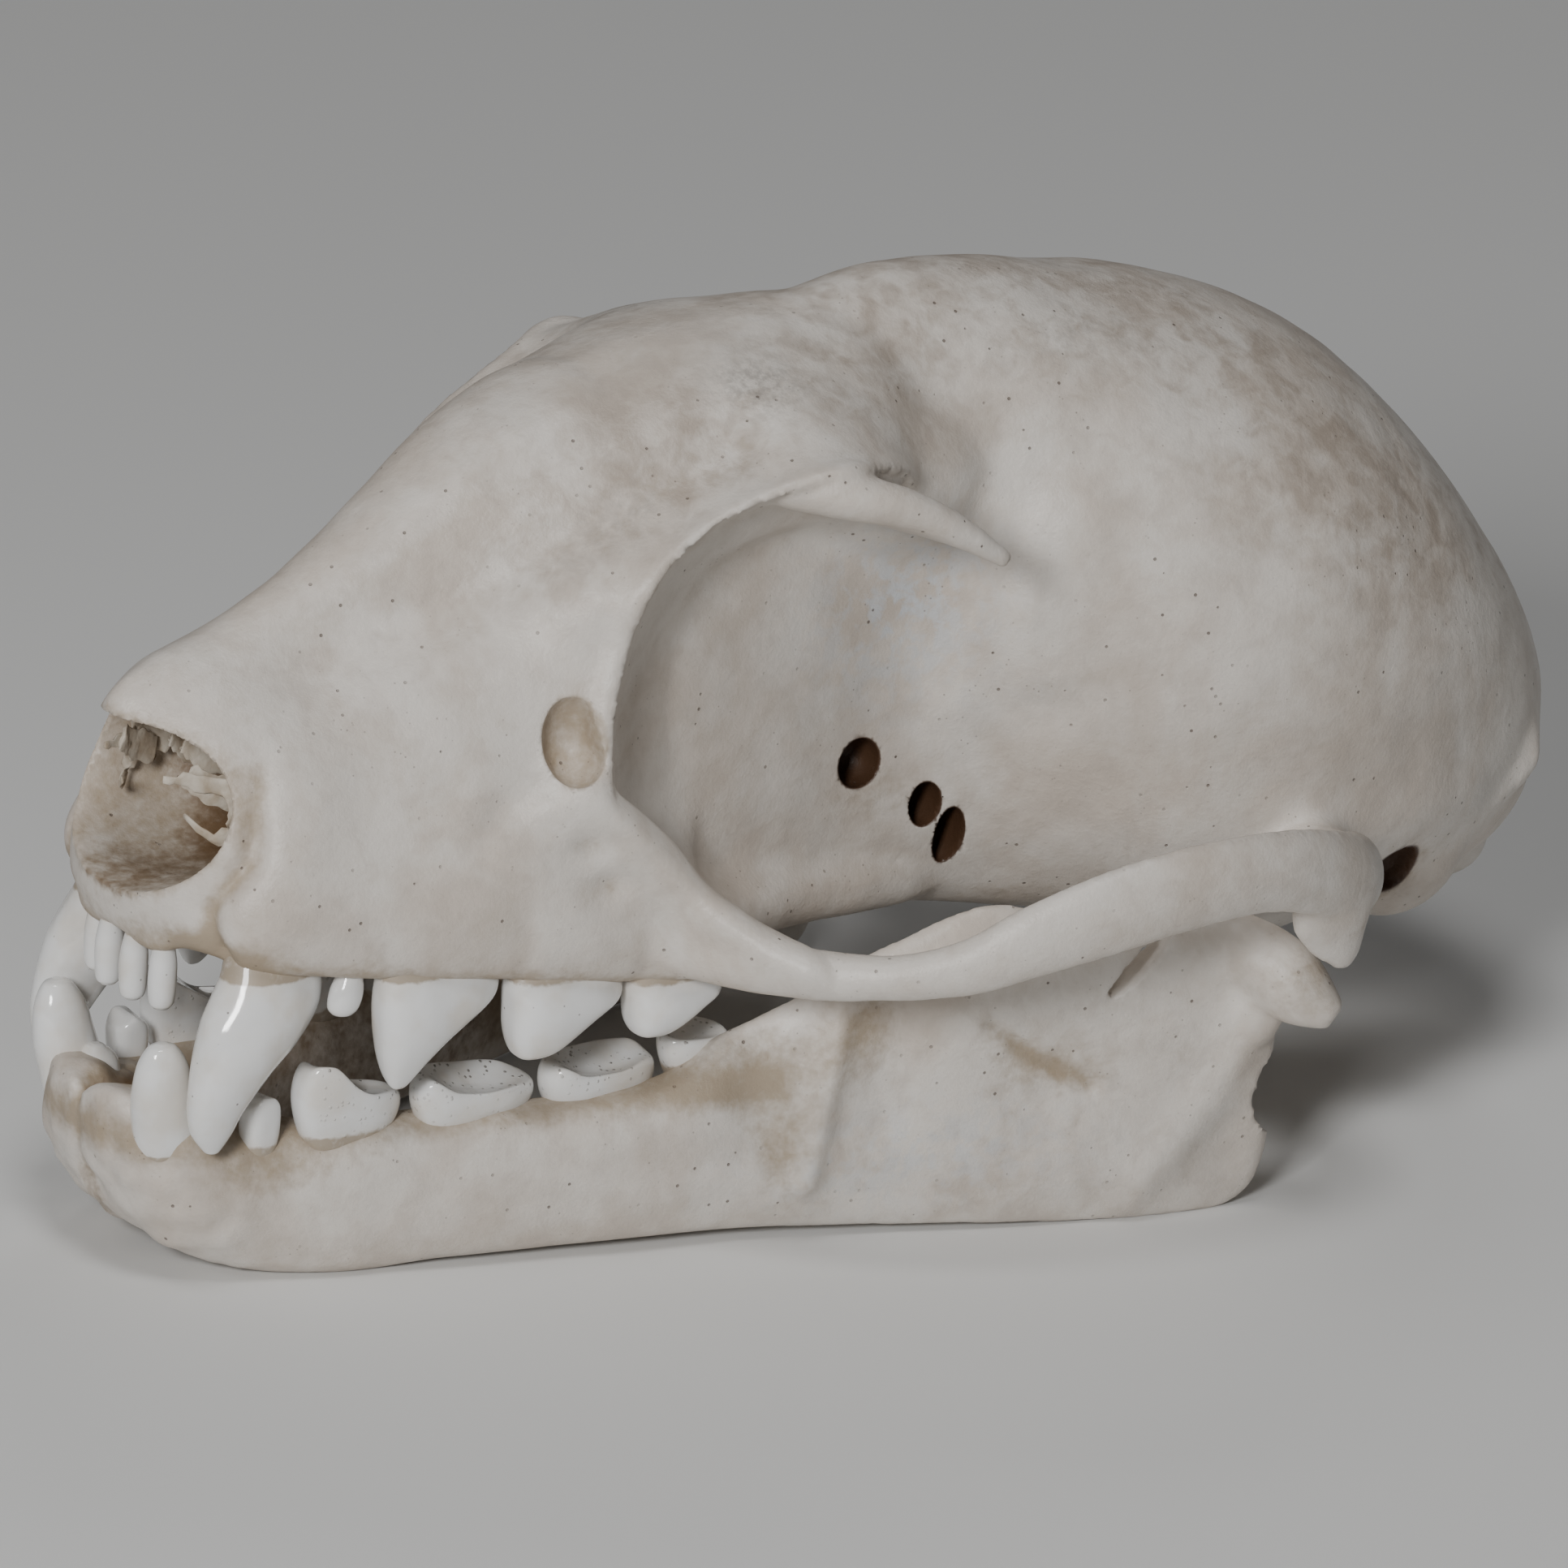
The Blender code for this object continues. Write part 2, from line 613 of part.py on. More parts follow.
def part_cranium(cranium):
    """Part the cranium into braincase, rostrum and the two cheek arches."""
    half_gap = GAP / 2
    width, low, high = FACE_CUT_REACH
    cuts = [slab("face_cut", (FACE_CUT_X - half_gap, -width, low),
                 (FACE_CUT_X + half_gap, width, high))]
    for side in (LEFT, RIGHT):
        for cut_y, reach in ((ARCH_FRONT_CUT_Y, ARCH_FRONT_REACH),
                             (ARCH_BACK_CUT_Y, ARCH_BACK_REACH)):
            near, far = sorted((side * (cut_y - half_gap), side * (cut_y + half_gap)))
            start, end = reach
            cuts.append(slab("arch_cut", (start[0], near, start[1]), (end[0], far, end[1])))
    combine(cranium, cuts, "DIFFERENCE")
    parts = {}
    for indices in loose_parts(cranium)[:CRANIUM_PARTS]:
        points = [cranium.data.vertices[v].co for i in indices
                  for v in cranium.data.polygons[i].vertices]
        middle = sum(points, Vector()) / len(points) / MM
        if abs(middle.y) > ARCH_LEAST_Y:
            name = "zygomatic_arch_left" if middle.y < 0 else "zygomatic_arch_right"
        else:
            name = "rostrum" if middle.x < FACE_CUT_X else "braincase"
        parts[name] = keep_faces(cranium, name, indices)
    bpy.data.objects.remove(cranium)
    return parts


def jaw_rings(side):
    rings = []
    for x, middle, bottom, top, half_thickness in spline(JAW_STATIONS, JAW_RINGS):
        ring = []
        for k in range(JAW_POINTS):
            angle = 2 * math.pi * k / JAW_POINTS
            y = side * middle + half_thickness * signed_power(math.cos(angle), 2 / JAW_POWER)
            z = (top + bottom) / 2 + (top - bottom) / 2 * signed_power(math.sin(angle), 2 / JAW_POWER)
            ring.append(place(x, y, z))
        rings.append(ring)
    return rings


def notch_cutter(name, size, side):
    x, z, half_length, half_height, turn = size
    turn = math.radians(turn)
    rings = []
    for middle in NOTCH_REACH:
        ring = []
        for k in range(NOTCH_POINTS):
            angle = 2 * math.pi * k / NOTCH_POINTS
            a = half_length * math.cos(angle)
            b = half_height * math.sin(angle)
            ring.append(place(x + a * math.cos(turn) - b * math.sin(turn), side * middle,
                              z + a * math.sin(turn) + b * math.cos(turn)))
        rings.append(ring)
    return loft(name, rings)


def build_jaw(name, side):
    """One half of the lower jaw with its teeth."""
    jaw = loft(name, jaw_rings(side))
    notches = [notch_cutter(key, size, side) for key, size in JAW_NOTCHES.items()]
    combine(jaw, notches, "DIFFERENCE")
    grown = [loft("roll", path_rings(spline(ROLL_PATH, ROLL_RINGS), BAR_POINTS, side)),
             eye_tooth("canine", LOWER_CANINE, side)]
    for key, size in LOWER_CHEEK_TEETH.items():
        grown.append(cheek_tooth(key, size, LOWER_GUM, side, LOWER_PROFILE))
    combine(jaw, grown, "UNION")
    level(jaw)
    inner, outer = sorted((side * GAP / 2, -side * CHIN_DEPTH))
    start, end = CHIN_REACH
    low, high = FLOOR_REACH
    cuts = [slab("middle", (start[0], inner, start[1]), (end[0], outer, end[1])),
            slab("floor", (low[0], low[1], start[1]), (high[0], high[1], 0.0))]
    combine(jaw, cuts, "DIFFERENCE")
    return jaw


def level(body):
    """Turn a body so that the jaw's lower edge lies level on the floor."""
    turn = Matrix.Rotation(-math.radians(LEVEL_TURN), 4, "Y")
    shift = Matrix.Translation(place(LEVEL_SHIFT[0], 0.0, LEVEL_SHIFT[1]))
    body.data.transform(shift @ turn)


def bone_material(name):
    material = bpy.data.materials.new(name)
    material.use_nodes = True
    shader = material.node_tree.nodes["Principled BSDF"]
    shader.inputs["Base Color"].default_value = BONE_COLOUR
    shader.inputs["Roughness"].default_value = BONE_ROUGHNESS
    shader.inputs["Metallic"].default_value = 0.0
    material.diffuse_color = BONE_COLOUR
    return material


def finish(body, name):
    """Keep the largest closed surface, shade it smooth and give it its material."""
    whole = keep_faces(body, name + "_kept", loose_parts(body)[0])
    bpy.data.objects.remove(body)
    bm = bmesh.new()
    bm.from_mesh(whole.data)
    bmesh.ops.triangulate(bm, faces=bm.faces)
    bm.to_mesh(whole.data)
    bm.free()
    whole.name = name
    whole.data.name = name
    whole.data.materials.clear()
    whole.data.materials.append(bone_material(name))
    whole.data.shade_smooth()
    whole.data.set_sharp_from_angle(angle=SHARP_ANGLE)
    return whole


def build():
    for old in list(bpy.data.objects):
        bpy.data.objects.remove(old)
    cranium = build_cranium()
    parts = part_cranium(cranium)
    for name, body in parts.items():
        level(body)
        finish(body, name)
    for name, side in (("mandible_left", LEFT), ("mandible_right", RIGHT)):
        finish(build_jaw(name + "_body", side), name)


build()
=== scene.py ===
import math

import bpy
import numpy as np
from mathutils import Matrix, Vector, noise


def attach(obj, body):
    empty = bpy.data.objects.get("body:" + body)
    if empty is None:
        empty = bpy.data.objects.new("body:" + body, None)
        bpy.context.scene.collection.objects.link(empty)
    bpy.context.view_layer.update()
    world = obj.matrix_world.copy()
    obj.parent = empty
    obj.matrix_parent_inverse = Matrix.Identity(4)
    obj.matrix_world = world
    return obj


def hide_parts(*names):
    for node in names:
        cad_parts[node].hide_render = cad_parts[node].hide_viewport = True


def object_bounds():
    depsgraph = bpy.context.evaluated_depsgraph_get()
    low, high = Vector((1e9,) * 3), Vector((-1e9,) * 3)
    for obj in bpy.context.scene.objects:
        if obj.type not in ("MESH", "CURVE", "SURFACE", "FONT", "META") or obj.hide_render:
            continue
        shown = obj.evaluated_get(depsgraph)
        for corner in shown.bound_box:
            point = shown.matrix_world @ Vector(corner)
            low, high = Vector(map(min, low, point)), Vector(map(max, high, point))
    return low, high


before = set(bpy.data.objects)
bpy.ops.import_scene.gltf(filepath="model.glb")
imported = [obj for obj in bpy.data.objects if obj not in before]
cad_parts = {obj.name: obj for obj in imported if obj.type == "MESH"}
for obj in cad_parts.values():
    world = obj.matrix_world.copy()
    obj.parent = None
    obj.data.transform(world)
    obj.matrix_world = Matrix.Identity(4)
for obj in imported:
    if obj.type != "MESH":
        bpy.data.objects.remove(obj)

# The pieces are modelled in millimetres, in the pose of the drawn profile, with the
# face to -X and the left side to -Y. settle() turns them level and into metres.
MM = 0.001
LEVEL_TURN = math.radians(1.88)
LEVEL_SHIFT = (0.253, 0.0, 0.08)
LEFT = -1
RIGHT = 1
SIDES = (LEFT, RIGHT)

COARSE_VOXEL = 0.17
VOXEL = 0.1
CRANIUM_TRIANGLES = 190000
JAW_TRIANGLES = 150000

cad_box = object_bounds()
# Room in metres that is kept between the skin and the sides of the CAD box.
HAIR = 2e-6
INNER_BOX = (np.array(cad_box[0]) + HAIR * np.array([1, 1, 0]), np.array(cad_box[1]) - HAIR)

# Points round the rings of each kind of piece.
BONE_POINTS = 96
CUTTER_POINTS = 64
JAW_POINTS = 64
TOOTH_POINTS = 48
EYE_TOOTH_POINTS = 36

# Rows of the bone's cross-sections: x, top z, widest z, bottom z, half width, power of
# the upper arc, power of the lower arc.
FACE_ROWS = [
    (-15.6, 11.25, 9.4, 8.0, 0.5, 2.0, 2.0),
    (-15.5, 11.5, 8.4, 7.0, 1.05, 1.6, 2.4),
    (-15.1, 11.75, 7.8, 6.85, 1.95, 1.5, 3.4),
    (-14.4, 12.0, 7.6, 6.75, 2.75, 1.6, 5.0),
    (-13.4, 12.28, 7.5, 6.58, 3.38, 1.55, 7.0),
    (-12.0, 12.9, 7.4, 6.32, 3.75, 1.45, 8.0),
    (-10.8, 13.65, 7.4, 6.1, 4.05, 1.45, 8.0),
    (-9.4, 14.6, 7.6, 5.86, 4.35, 1.5, 8.0),
    (-8.2, 15.35, 7.9, 5.62, 4.6, 1.55, 8.0),
    (-7.0, 15.85, 8.2, 5.42, 4.88, 1.65, 8.0),
    (-5.8, 16.2, 8.4, 5.25, 4.95, 1.8, 8.0),
    (-5.0, 15.5, 8.6, 5.3, 4.7, 2.0, 5.0),
    (-4.4, 12.8, 9.0, 6.0, 2.8, 2.0, 2.4),
]
BROW_ROWS = [
    (-9.6, 13.85, 12.4, 10.8, 1.9, 1.8, 2.0),
    (-8.6, 14.6, 12.5, 10.4, 2.9, 1.6, 2.0),
    (-7.6, 15.3, 12.75, 10.4, 3.75, 1.5, 2.0),
    (-6.4, 15.9, 13.2, 10.9, 4.25, 1.5, 2.0),
    (-5.0, 16.32, 13.9, 12.0, 4.55, 1.45, 2.0),
    (-3.6, 16.55, 14.4, 12.8, 4.85, 1.5, 2.0),
    (-2.4, 16.6, 14.45, 13.0, 4.95, 1.5, 2.0),
    (-1.4, 16.62, 14.2, 12.8, 4.6, 1.5, 2.0),
    (-0.5, 16.64, 13.85, 12.5, 3.9, 1.6, 2.0),
    (0.7, 16.3, 13.3, 12.0, 3.05, 1.8, 2.0),
    (2.2, 15.0, 12.6, 11.6, 2.1, 2.0, 2.0),
]
BRAINCASE_ROWS = [
    (-8.6, 13.6, 10.6, 7.6, 1.4, 2.0, 2.0),
    (-7.6, 15.0, 10.6, 6.3, 2.2, 2.2, 2.6),
    (-5.0, 16.0, 10.6, 5.0, 2.7, 2.2, 4.0),
    (-2.4, 16.35, 10.6, 4.85, 2.65, 2.2, 4.0),
    (-0.4, 16.68, 10.4, 4.7, 2.6, 2.2, 4.0),
    (1.6, 16.9, 10.2, 4.5, 3.2, 2.1, 3.6),
    (3.4, 16.7, 9.8, 4.2, 4.5, 2.0, 3.2),
    (5.4, 16.28, 9.4, 3.85, 5.7, 2.0, 3.0),
    (7.6, 15.78, 9.0, 3.5, 6.3, 2.0, 2.9),
    (9.8, 15.0, 8.5, 3.2, 6.15, 2.0, 2.8),
    (11.8, 13.65, 7.9, 3.0, 5.55, 2.0, 2.7),
    (13.6, 11.75, 7.3, 3.0, 4.7, 2.0, 2.6),
    (14.8, 10.05, 7.0, 3.3, 3.85, 2.0, 2.5),
    (15.6, 8.7, 6.9, 4.3, 2.8, 2.0, 2.2),
    (15.95, 7.65, 6.85, 5.8, 1.4, 2.0, 2.0),
]
PALATE_ROWS = [
    (-7.6, 7.0, 6.3, 5.6, 3.8, 2.4, 3.0),
    (-5.6, 7.1, 6.1, 5.2, 4.55, 2.2, 3.4),
    (-4.2, 6.95, 6.0, 5.1, 4.0, 2.2, 3.4),
    (-2.8, 6.8, 5.9, 4.98, 3.3, 2.2, 3.4),
    (-1.2, 6.6, 5.75, 4.8, 2.8, 2.2, 3.4),
    (1.0, 6.4, 5.6, 4.7, 2.6, 2.2, 3.0),
    (2.6, 6.2, 5.5, 4.8, 2.2, 2.0, 2.4),
]

# Rows of a rounded bar: x, distance from the middle, z, half height, half thickness.
ARCH_ROWS = [
    (-6.9, 3.3, 7.4, 1.2, 0.7),
    (-6.0, 4.7, 6.62, 0.95, 0.62),
    (-4.9, 6.05, 6.12, 0.6, 0.5),
    (-3.55, 7.5, 6.14, 0.44, 0.42),
    (-2.2, 8.45, 6.42, 0.54, 0.38),
    (-1.05, 9.05, 6.95, 0.72, 0.36),
    (0.3, 9.55, 7.42, 0.84, 0.36),
    (1.9, 9.88, 7.72, 0.84, 0.36),
    (3.6, 9.92, 7.7, 0.8, 0.38),
    (5.0, 9.65, 7.34, 0.86, 0.45),
    (6.2, 9.0, 6.84, 0.85, 0.6),
    (6.95, 7.8, 6.3, 0.8, 0.75),
    (7.4, 6.4, 5.95, 0.8, 0.8),
    (7.6, 4.8, 5.8, 0.8, 0.8),
]
SPINE_ROWS = [
    (-3.6, 3.9, 14.7, 0.55, 0.55),
    (-2.6, 4.75, 14.52, 0.48, 0.46),
    (-1.6, 5.2, 14.22, 0.38, 0.36),
    (-0.6, 5.5, 13.68, 0.3, 0.28),
    (0.32, 5.75, 13.05, 0.15, 0.14),
]
SPINE_WEB_ROWS = [
    (-3.2, 3.8, 14.5, 0.4, 0.8),
    (-2.0, 4.3, 14.2, 0.36, 0.85),
    (-1.0, 4.6, 13.8, 0.3, 0.75),
    (-0.3, 4.8, 13.4, 0.2, 0.5),
]
CHEEK_PLATE_ROWS = [
    (-9.8, 3.9, 8.3, 0.6, 0.25),
    (-8.9, 4.1, 8.38, 1.2, 0.42),
    (-8.1, 4.3, 8.25, 1.42, 0.43),
    (-7.2, 4.46, 7.62, 1.35, 0.43),
    (-6.66, 4.56, 7.17, 1.15, 0.43),
    (-6.16, 4.72, 6.77, 0.93, 0.42),
    (-5.7, 4.95, 6.52, 0.7, 0.42),
    (-5.2, 5.4, 6.32, 0.58, 0.42),
    (-4.7, 6.0, 6.18, 0.52, 0.42),
]
HOOK_ROWS = [
    (5.6, 9.4, 7.1, 0.7, 0.3),
    (5.62, 9.3, 6.5, 0.98, 0.4),
    (5.8, 9.2, 5.85, 0.74, 0.36),
    (5.95, 9.2, 5.4, 0.46, 0.28),
    (6.0, 9.2, 5.05, 0.15, 0.14),
]
JOINT_ROLL_ROWS = [
    (4.55, 6.3, 5.2, 0.3, 0.3),
    (4.85, 6.9, 5.22, 0.48, 0.48),
    (5.2, 7.6, 4.92, 0.68, 0.68),
    (5.6, 8.4, 4.5, 0.62, 0.62),
    (5.98, 9.1, 4.05, 0.26, 0.26),
]
# Bars on each side of the skull: name, rows, number of rings, points round a ring.
SIDE_BARS = [
    ("arch", ARCH_ROWS, 80, 32),
    ("plate", CHEEK_PLATE_ROWS, 40, 32),
    ("spine", SPINE_ROWS, 30, 24),
    ("web", SPINE_WEB_ROWS, 20, 24),
    ("hook", HOOK_ROWS, 24, 24),
]

# Rows of the nose opening: x, half width, half height.
NOSE_HEIGHT = 9.42
NOSE_ROWS = [
    (-16.5, 2.55, 1.65),
    (-15.0, 2.45, 1.65),
    (-14.1, 2.22, 1.65),
    (-13.0, 1.85, 1.5),
    (-11.8, 1.05, 1.0),
]

# Eye socket, holes and lumps: centre (x, distance from the middle, z) and half sizes.
ORBIT = ((-2.35, 7.6, 10.2), (5.85, 5.2, 5.1))
ORBIT_POWER = 2.6
INFRAORBITAL_HOLE = ((-8.12, 4.15, 10.52), (0.58, 0.75, 0.88))
INFRAORBITAL_BACK = -7.66
OPTIC_HOLE = ((-0.55, 2.45, 8.15), (0.46, 0.7, 0.5))
SPHENOID_HOLES = [((0.85, 2.75, 7.15), (0.3, 0.85, 0.46)),
                  ((1.38, 2.85, 6.45), (0.27, 0.8, 0.62))]
TEMPLE_FILL = ((0.3, 2.4, 13.5), (1.7, 1.0, 1.3))
INCISOR_RIDGE = ((-15.0, 0.75, 6.98), (0.4, 0.8, 0.36))
EYE_TOOTH_ROOT_LUMP = ((-13.65, 2.38, 7.65), (1.2, 0.85, 1.1))
CHIN_LUMP = ((-14.7, 0.0, 2.15), (1.12, 1.05, 1.25))
JOINT_NECK = ((5.25, 7.45, 4.0), (0.55, 0.62, 0.95))
EAR_HOLE = ((10.3, 5.6, 4.7), (0.7, 1.2, 0.7))
SPINAL_HOLE = ((15.6, 0.0, 5.2), (1.6, 2.0, 1.45))
SIDE_LUMPS = [
    ("cochlea", ((8.9, 2.6, 4.15), (1.9, 1.35, 1.15))),
    ("mastoid", ((11.3, 4.0, 4.6), (1.6, 0.95, 1.35))),
    ("neck_knob", ((14.4, 1.75, 3.7), (0.95, 0.8, 0.95))),
]

# Rows of the lower jaw: x, distance from the middle, bottom z, top z, half thickness.
JAW_ROWS = [
    (-16.1, 0.45, 2.95, 3.9, 0.35),
    (-15.85, 0.7, 2.1, 4.05, 0.8),
    (-15.25, 1.0, 1.22, 3.95, 1.15),
    (-14.4, 1.25, 0.64, 3.5, 1.32),
    (-13.4, 1.6, 0.34, 3.25, 1.25),
    (-12.2, 2.25, 0.25, 3.2, 0.98),
    (-11.3, 2.57, 0.25, 3.2, 0.86),
    (-10.2, 2.92, 0.33, 3.2, 0.82),
    (-8.4, 3.4, 0.31, 3.18, 0.78),
    (-6.0, 4.0, 0.28, 3.3, 0.76),
    (-4.6, 4.4, 0.25, 4.1, 0.68),
    (-3.2, 4.9, 0.18, 4.85, 0.58),
    (-1.5, 5.55, 0.08, 5.85, 0.46),
    (-0.1, 6.1, 0.0, 6.46, 0.42),
    (1.2, 6.5, -0.1, 6.15, 0.42),
    (2.6, 6.85, -0.21, 5.7, 0.42),
    (3.9, 7.1, -0.3, 5.66, 0.44),
    (4.9, 7.25, -0.28, 5.7, 0.44),
    (5.5, 7.35, 0.05, 5.2, 0.38),
    (5.8, 7.38, 0.65, 4.5, 0.22),
]
JAW_POWER = 2.6

# Notches cut through the jaw's branch: x, z, half length, half height, turn; then how far
# from the middle plane the cut starts and ends.
JOINT_NOTCH = (2.88, 5.08, 0.88, 0.16, math.radians(42))
REAR_NOTCH = (6.28, 2.0, 0.95, 0.98, 0.0)
NOTCH_REACH = (5.0, 9.8)

# Upper cheek teeth: x front, x back, x of the tip, distance from the middle, tip z,
# half width, and whether the tip is sharp.
UPPER_CHEEK_TEETH = {
    "upper_front_premolar": (-11.82, -9.28, -11.4, 3.38, 4.12, 0.64, True),
    "upper_rear_premolar": (-9.2, -6.82, -8.75, 3.76, 4.35, 0.7, False),
    "upper_molar": (-6.76, -4.8, -6.32, 4.1, 4.42, 0.64, False),
}
# Lower cheek teeth: x front, x back, distance from the middle, half width, gum z, height,
# depth of the basin, then the heights of the outer and the inner crest along the tooth.
LOWER_CHEEK_TEETH = {
    "lower_small_premolar": (-13.95, -13.2, 2.28, 0.36, 3.1, 0.95, 0.0,
                             [(-1, 0.75), (-0.3, 1.0), (0.4, 0.95), (1, 0.7)],
                             [(-1, 0.7), (0, 0.95), (1, 0.65)]),
    "lower_front_premolar": (-13.02, -10.78, 2.6, 0.5, 3.15, 1.52, 0.1,
                             [(-1, 0.8), (-0.8, 1.0), (-0.42, 0.97), (-0.1, 0.66),
                              (0.25, 0.48), (0.8, 0.46), (1, 0.38)],
                             [(-1, 0.72), (-0.7, 0.9), (-0.3, 0.72), (0.2, 0.5), (1, 0.4)]),
    "lower_rear_premolar": (-10.68, -8.08, 2.98, 0.54, 3.05, 1.12, 0.22,
                            [(-1, 0.72), (-0.82, 0.92), (-0.5, 0.62), (0, 0.5), (0.6, 0.52),
                             (1, 0.45)],
                            [(-1, 0.8), (-0.75, 1.0), (-0.45, 0.92), (0, 0.8), (0.7, 0.74),
                             (1, 0.55)]),
    "lower_front_molar": (-8.06, -5.6, 3.32, 0.54, 3.02, 1.05, 0.24,
                          [(-1, 0.7), (-0.8, 0.86), (-0.45, 0.6), (0.2, 0.56), (0.7, 0.66),
                           (1, 0.55)],
                          [(-1, 0.8), (-0.7, 0.95), (-0.2, 0.86), (0.5, 0.88), (0.85, 0.9),
                           (1, 0.65)]),
    "lower_rear_molar": (-5.62, -4.2, 3.64, 0.46, 3.45, 0.86, 0.12,
                         [(-1, 0.7), (0, 0.62), (1, 0.6)],
                         [(-1, 0.85), (0, 0.9), (1, 0.7)]),
}
UPPER_GUM_FRONT = (-15.0, 7.05)
UPPER_GUM_BACK = (-5.2, 5.45)
TOOTH_SINK = 0.9

# Eye teeth: x, distance from the middle, z, half length, half width.
UPPER_EYE_TOOTH = [
    (-13.3, 2.2, 8.0, 0.7, 0.48),
    (-13.52, 2.42, 6.9, 0.92, 0.62),
    (-13.58, 2.52, 6.5, 1.02, 0.68),
    (-13.82, 2.6, 5.85, 1.18, 0.72),
    (-14.16, 2.66, 5.25, 1.06, 0.66),
    (-14.52, 2.7, 4.7, 0.82, 0.55),
    (-14.78, 2.7, 4.14, 0.6, 0.43),
    (-14.88, 2.7, 3.68, 0.42, 0.31),
    (-14.87, 2.7, 3.27, 0.13, 0.11),
]
LOWER_EYE_TOOTH = [
    (-14.85, 1.4, 2.3, 0.5, 0.42),
    (-15.1, 1.55, 2.95, 0.62, 0.48),
    (-15.2, 1.62, 3.5, 0.66, 0.5),
    (-15.32, 1.7, 4.15, 0.62, 0.48),
    (-15.38, 1.76, 4.75, 0.5, 0.4),
    (-15.42, 1.8, 5.12, 0.3, 0.25),
    (-15.42, 1.8, 5.22, 0.1, 0.09),
]
LOWER_EYE_TOOTH_HEEL = [
    (-14.92, 1.2, 2.6, 0.4, 0.34),
    (-14.92, 1.18, 3.2, 0.5, 0.44),
    (-14.95, 1.16, 3.75, 0.42, 0.38),
    (-14.98, 1.15, 4.02, 0.2, 0.18),
    (-14.98, 1.15, 4.08, 0.08, 0.08),
]
UPPER_PEG_TOOTH = [
    (-12.2, 3.15, 7.1, 0.2, 0.18),
    (-12.24, 3.15, 6.55, 0.22, 0.2),
    (-12.32, 3.16, 6.15, 0.33, 0.27),
    (-12.4, 3.17, 5.85, 0.32, 0.26),
    (-12.42, 3.17, 5.7, 0.22, 0.18),
    (-12.42, 3.17, 5.65, 0.08, 0.07),
]
INCISOR_PLACES = [(-15.15, 0.42), (-14.95, 1.1)]
INCISOR_TIP = 5.55
# Rows of an incisor: whether z counts from the gum (else from the tip), shift of x, z, half
# length, half width.
INCISOR_ROWS = [
    (True, 0.15, 0.25, 0.17, 0.15),
    (True, 0.0, -0.15, 0.19, 0.17),
    (True, -0.03, -0.65, 0.27, 0.25),
    (False, -0.05, 0.22, 0.25, 0.23),
    (False, -0.05, 0.05, 0.17, 0.16),
    (False, -0.05, 0.0, 0.06, 0.06),
]
# Which way the bone lies from a tooth, the height of a tooth's small lumps and of its
# stained neck, and the front end of the grit on the lower cheek teeth.
UPWARD = 1
DOWNWARD = -1
CROWN_LUMPS = 0.02
EYE_TOOTH_LUMPS = 0.015
NECK_HEIGHT = 0.11
GRIT_FRONT = -12.7

# Squareness of the cheek teeth and how far an upper tip leans outwards.
BLADE_POWER = 2.6
CROWN_POWER = 2.7
TIP_LEAN = 0.12

# Outline of an upper cheek tooth: share of the crown's height, how far the front and the
# back edge have moved toward the tip, and share of the full width.
SHARP_OUTLINE = [
    (-0.45, 0.15, 0.12, 0.7),
    (0.0, 0.06, 0.04, 0.86),
    (0.16, 0.0, 0.0, 0.97),
    (0.32, 0.0, 0.05, 1.0),
    (0.48, 0.02, 0.32, 0.92),
    (0.68, 0.14, 0.6, 0.72),
    (0.85, 0.36, 0.8, 0.48),
    (0.96, 0.64, 0.9, 0.26),
    (1.0, 0.86, 0.94, 0.1),
]
BLUNT_OUTLINE = [
    (-0.45, 0.15, 0.12, 0.7),
    (0.0, 0.06, 0.04, 0.86),
    (0.18, 0.0, 0.0, 0.97),
    (0.4, 0.0, 0.03, 1.0),
    (0.58, 0.01, 0.26, 0.94),
    (0.76, 0.06, 0.5, 0.8),
    (0.9, 0.2, 0.68, 0.6),
    (0.97, 0.42, 0.8, 0.4),
    (1.0, 0.72, 0.9, 0.18),
]

# Rings of a crown's wall: share of the crown's height and of its full size.
CROWN_WALL = [(-0.5, 0.75), (0.0, 0.86), (0.2, 0.95), (0.45, 1.0), (0.75, 1.0), (0.93, 0.97)]
CROWN_TOP = (0.9, 0.8, 0.68, 0.55, 0.42, 0.3, 0.18, 0.08)

# Torn sheets of bone in the nose: x, distance from the middle, z, half width, thickness.
NOSE_SHEETS = [
    [(-14.55, 1.1, 10.05, 0.2, 0.03), (-14.15, 1.3, 9.75, 0.3, 0.03),
     (-13.6, 1.45, 9.55, 0.24, 0.03)],
    [(-15.0, 1.0, 10.0, 0.06, 0.03), (-14.5, 1.2, 9.95, 0.14, 0.03),
     (-13.97, 1.6, 9.8, 0.18, 0.04), (-13.95, 1.78, 9.3, 0.16, 0.04),
     (-14.25, 1.6, 8.9, 0.12, 0.03), (-14.57, 1.05, 9.25, 0.05, 0.03)],
    [(-14.0, 1.55, 10.3, 0.16, 0.03), (-13.7, 1.62, 9.9, 0.26, 0.03),
     (-13.2, 1.5, 9.6, 0.3, 0.03)],
    [(-14.1, 0.2, 10.2, 0.1, 0.03), (-13.6, 0.3, 10.0, 0.34, 0.03),
     (-12.9, 0.35, 9.9, 0.4, 0.03)],
]

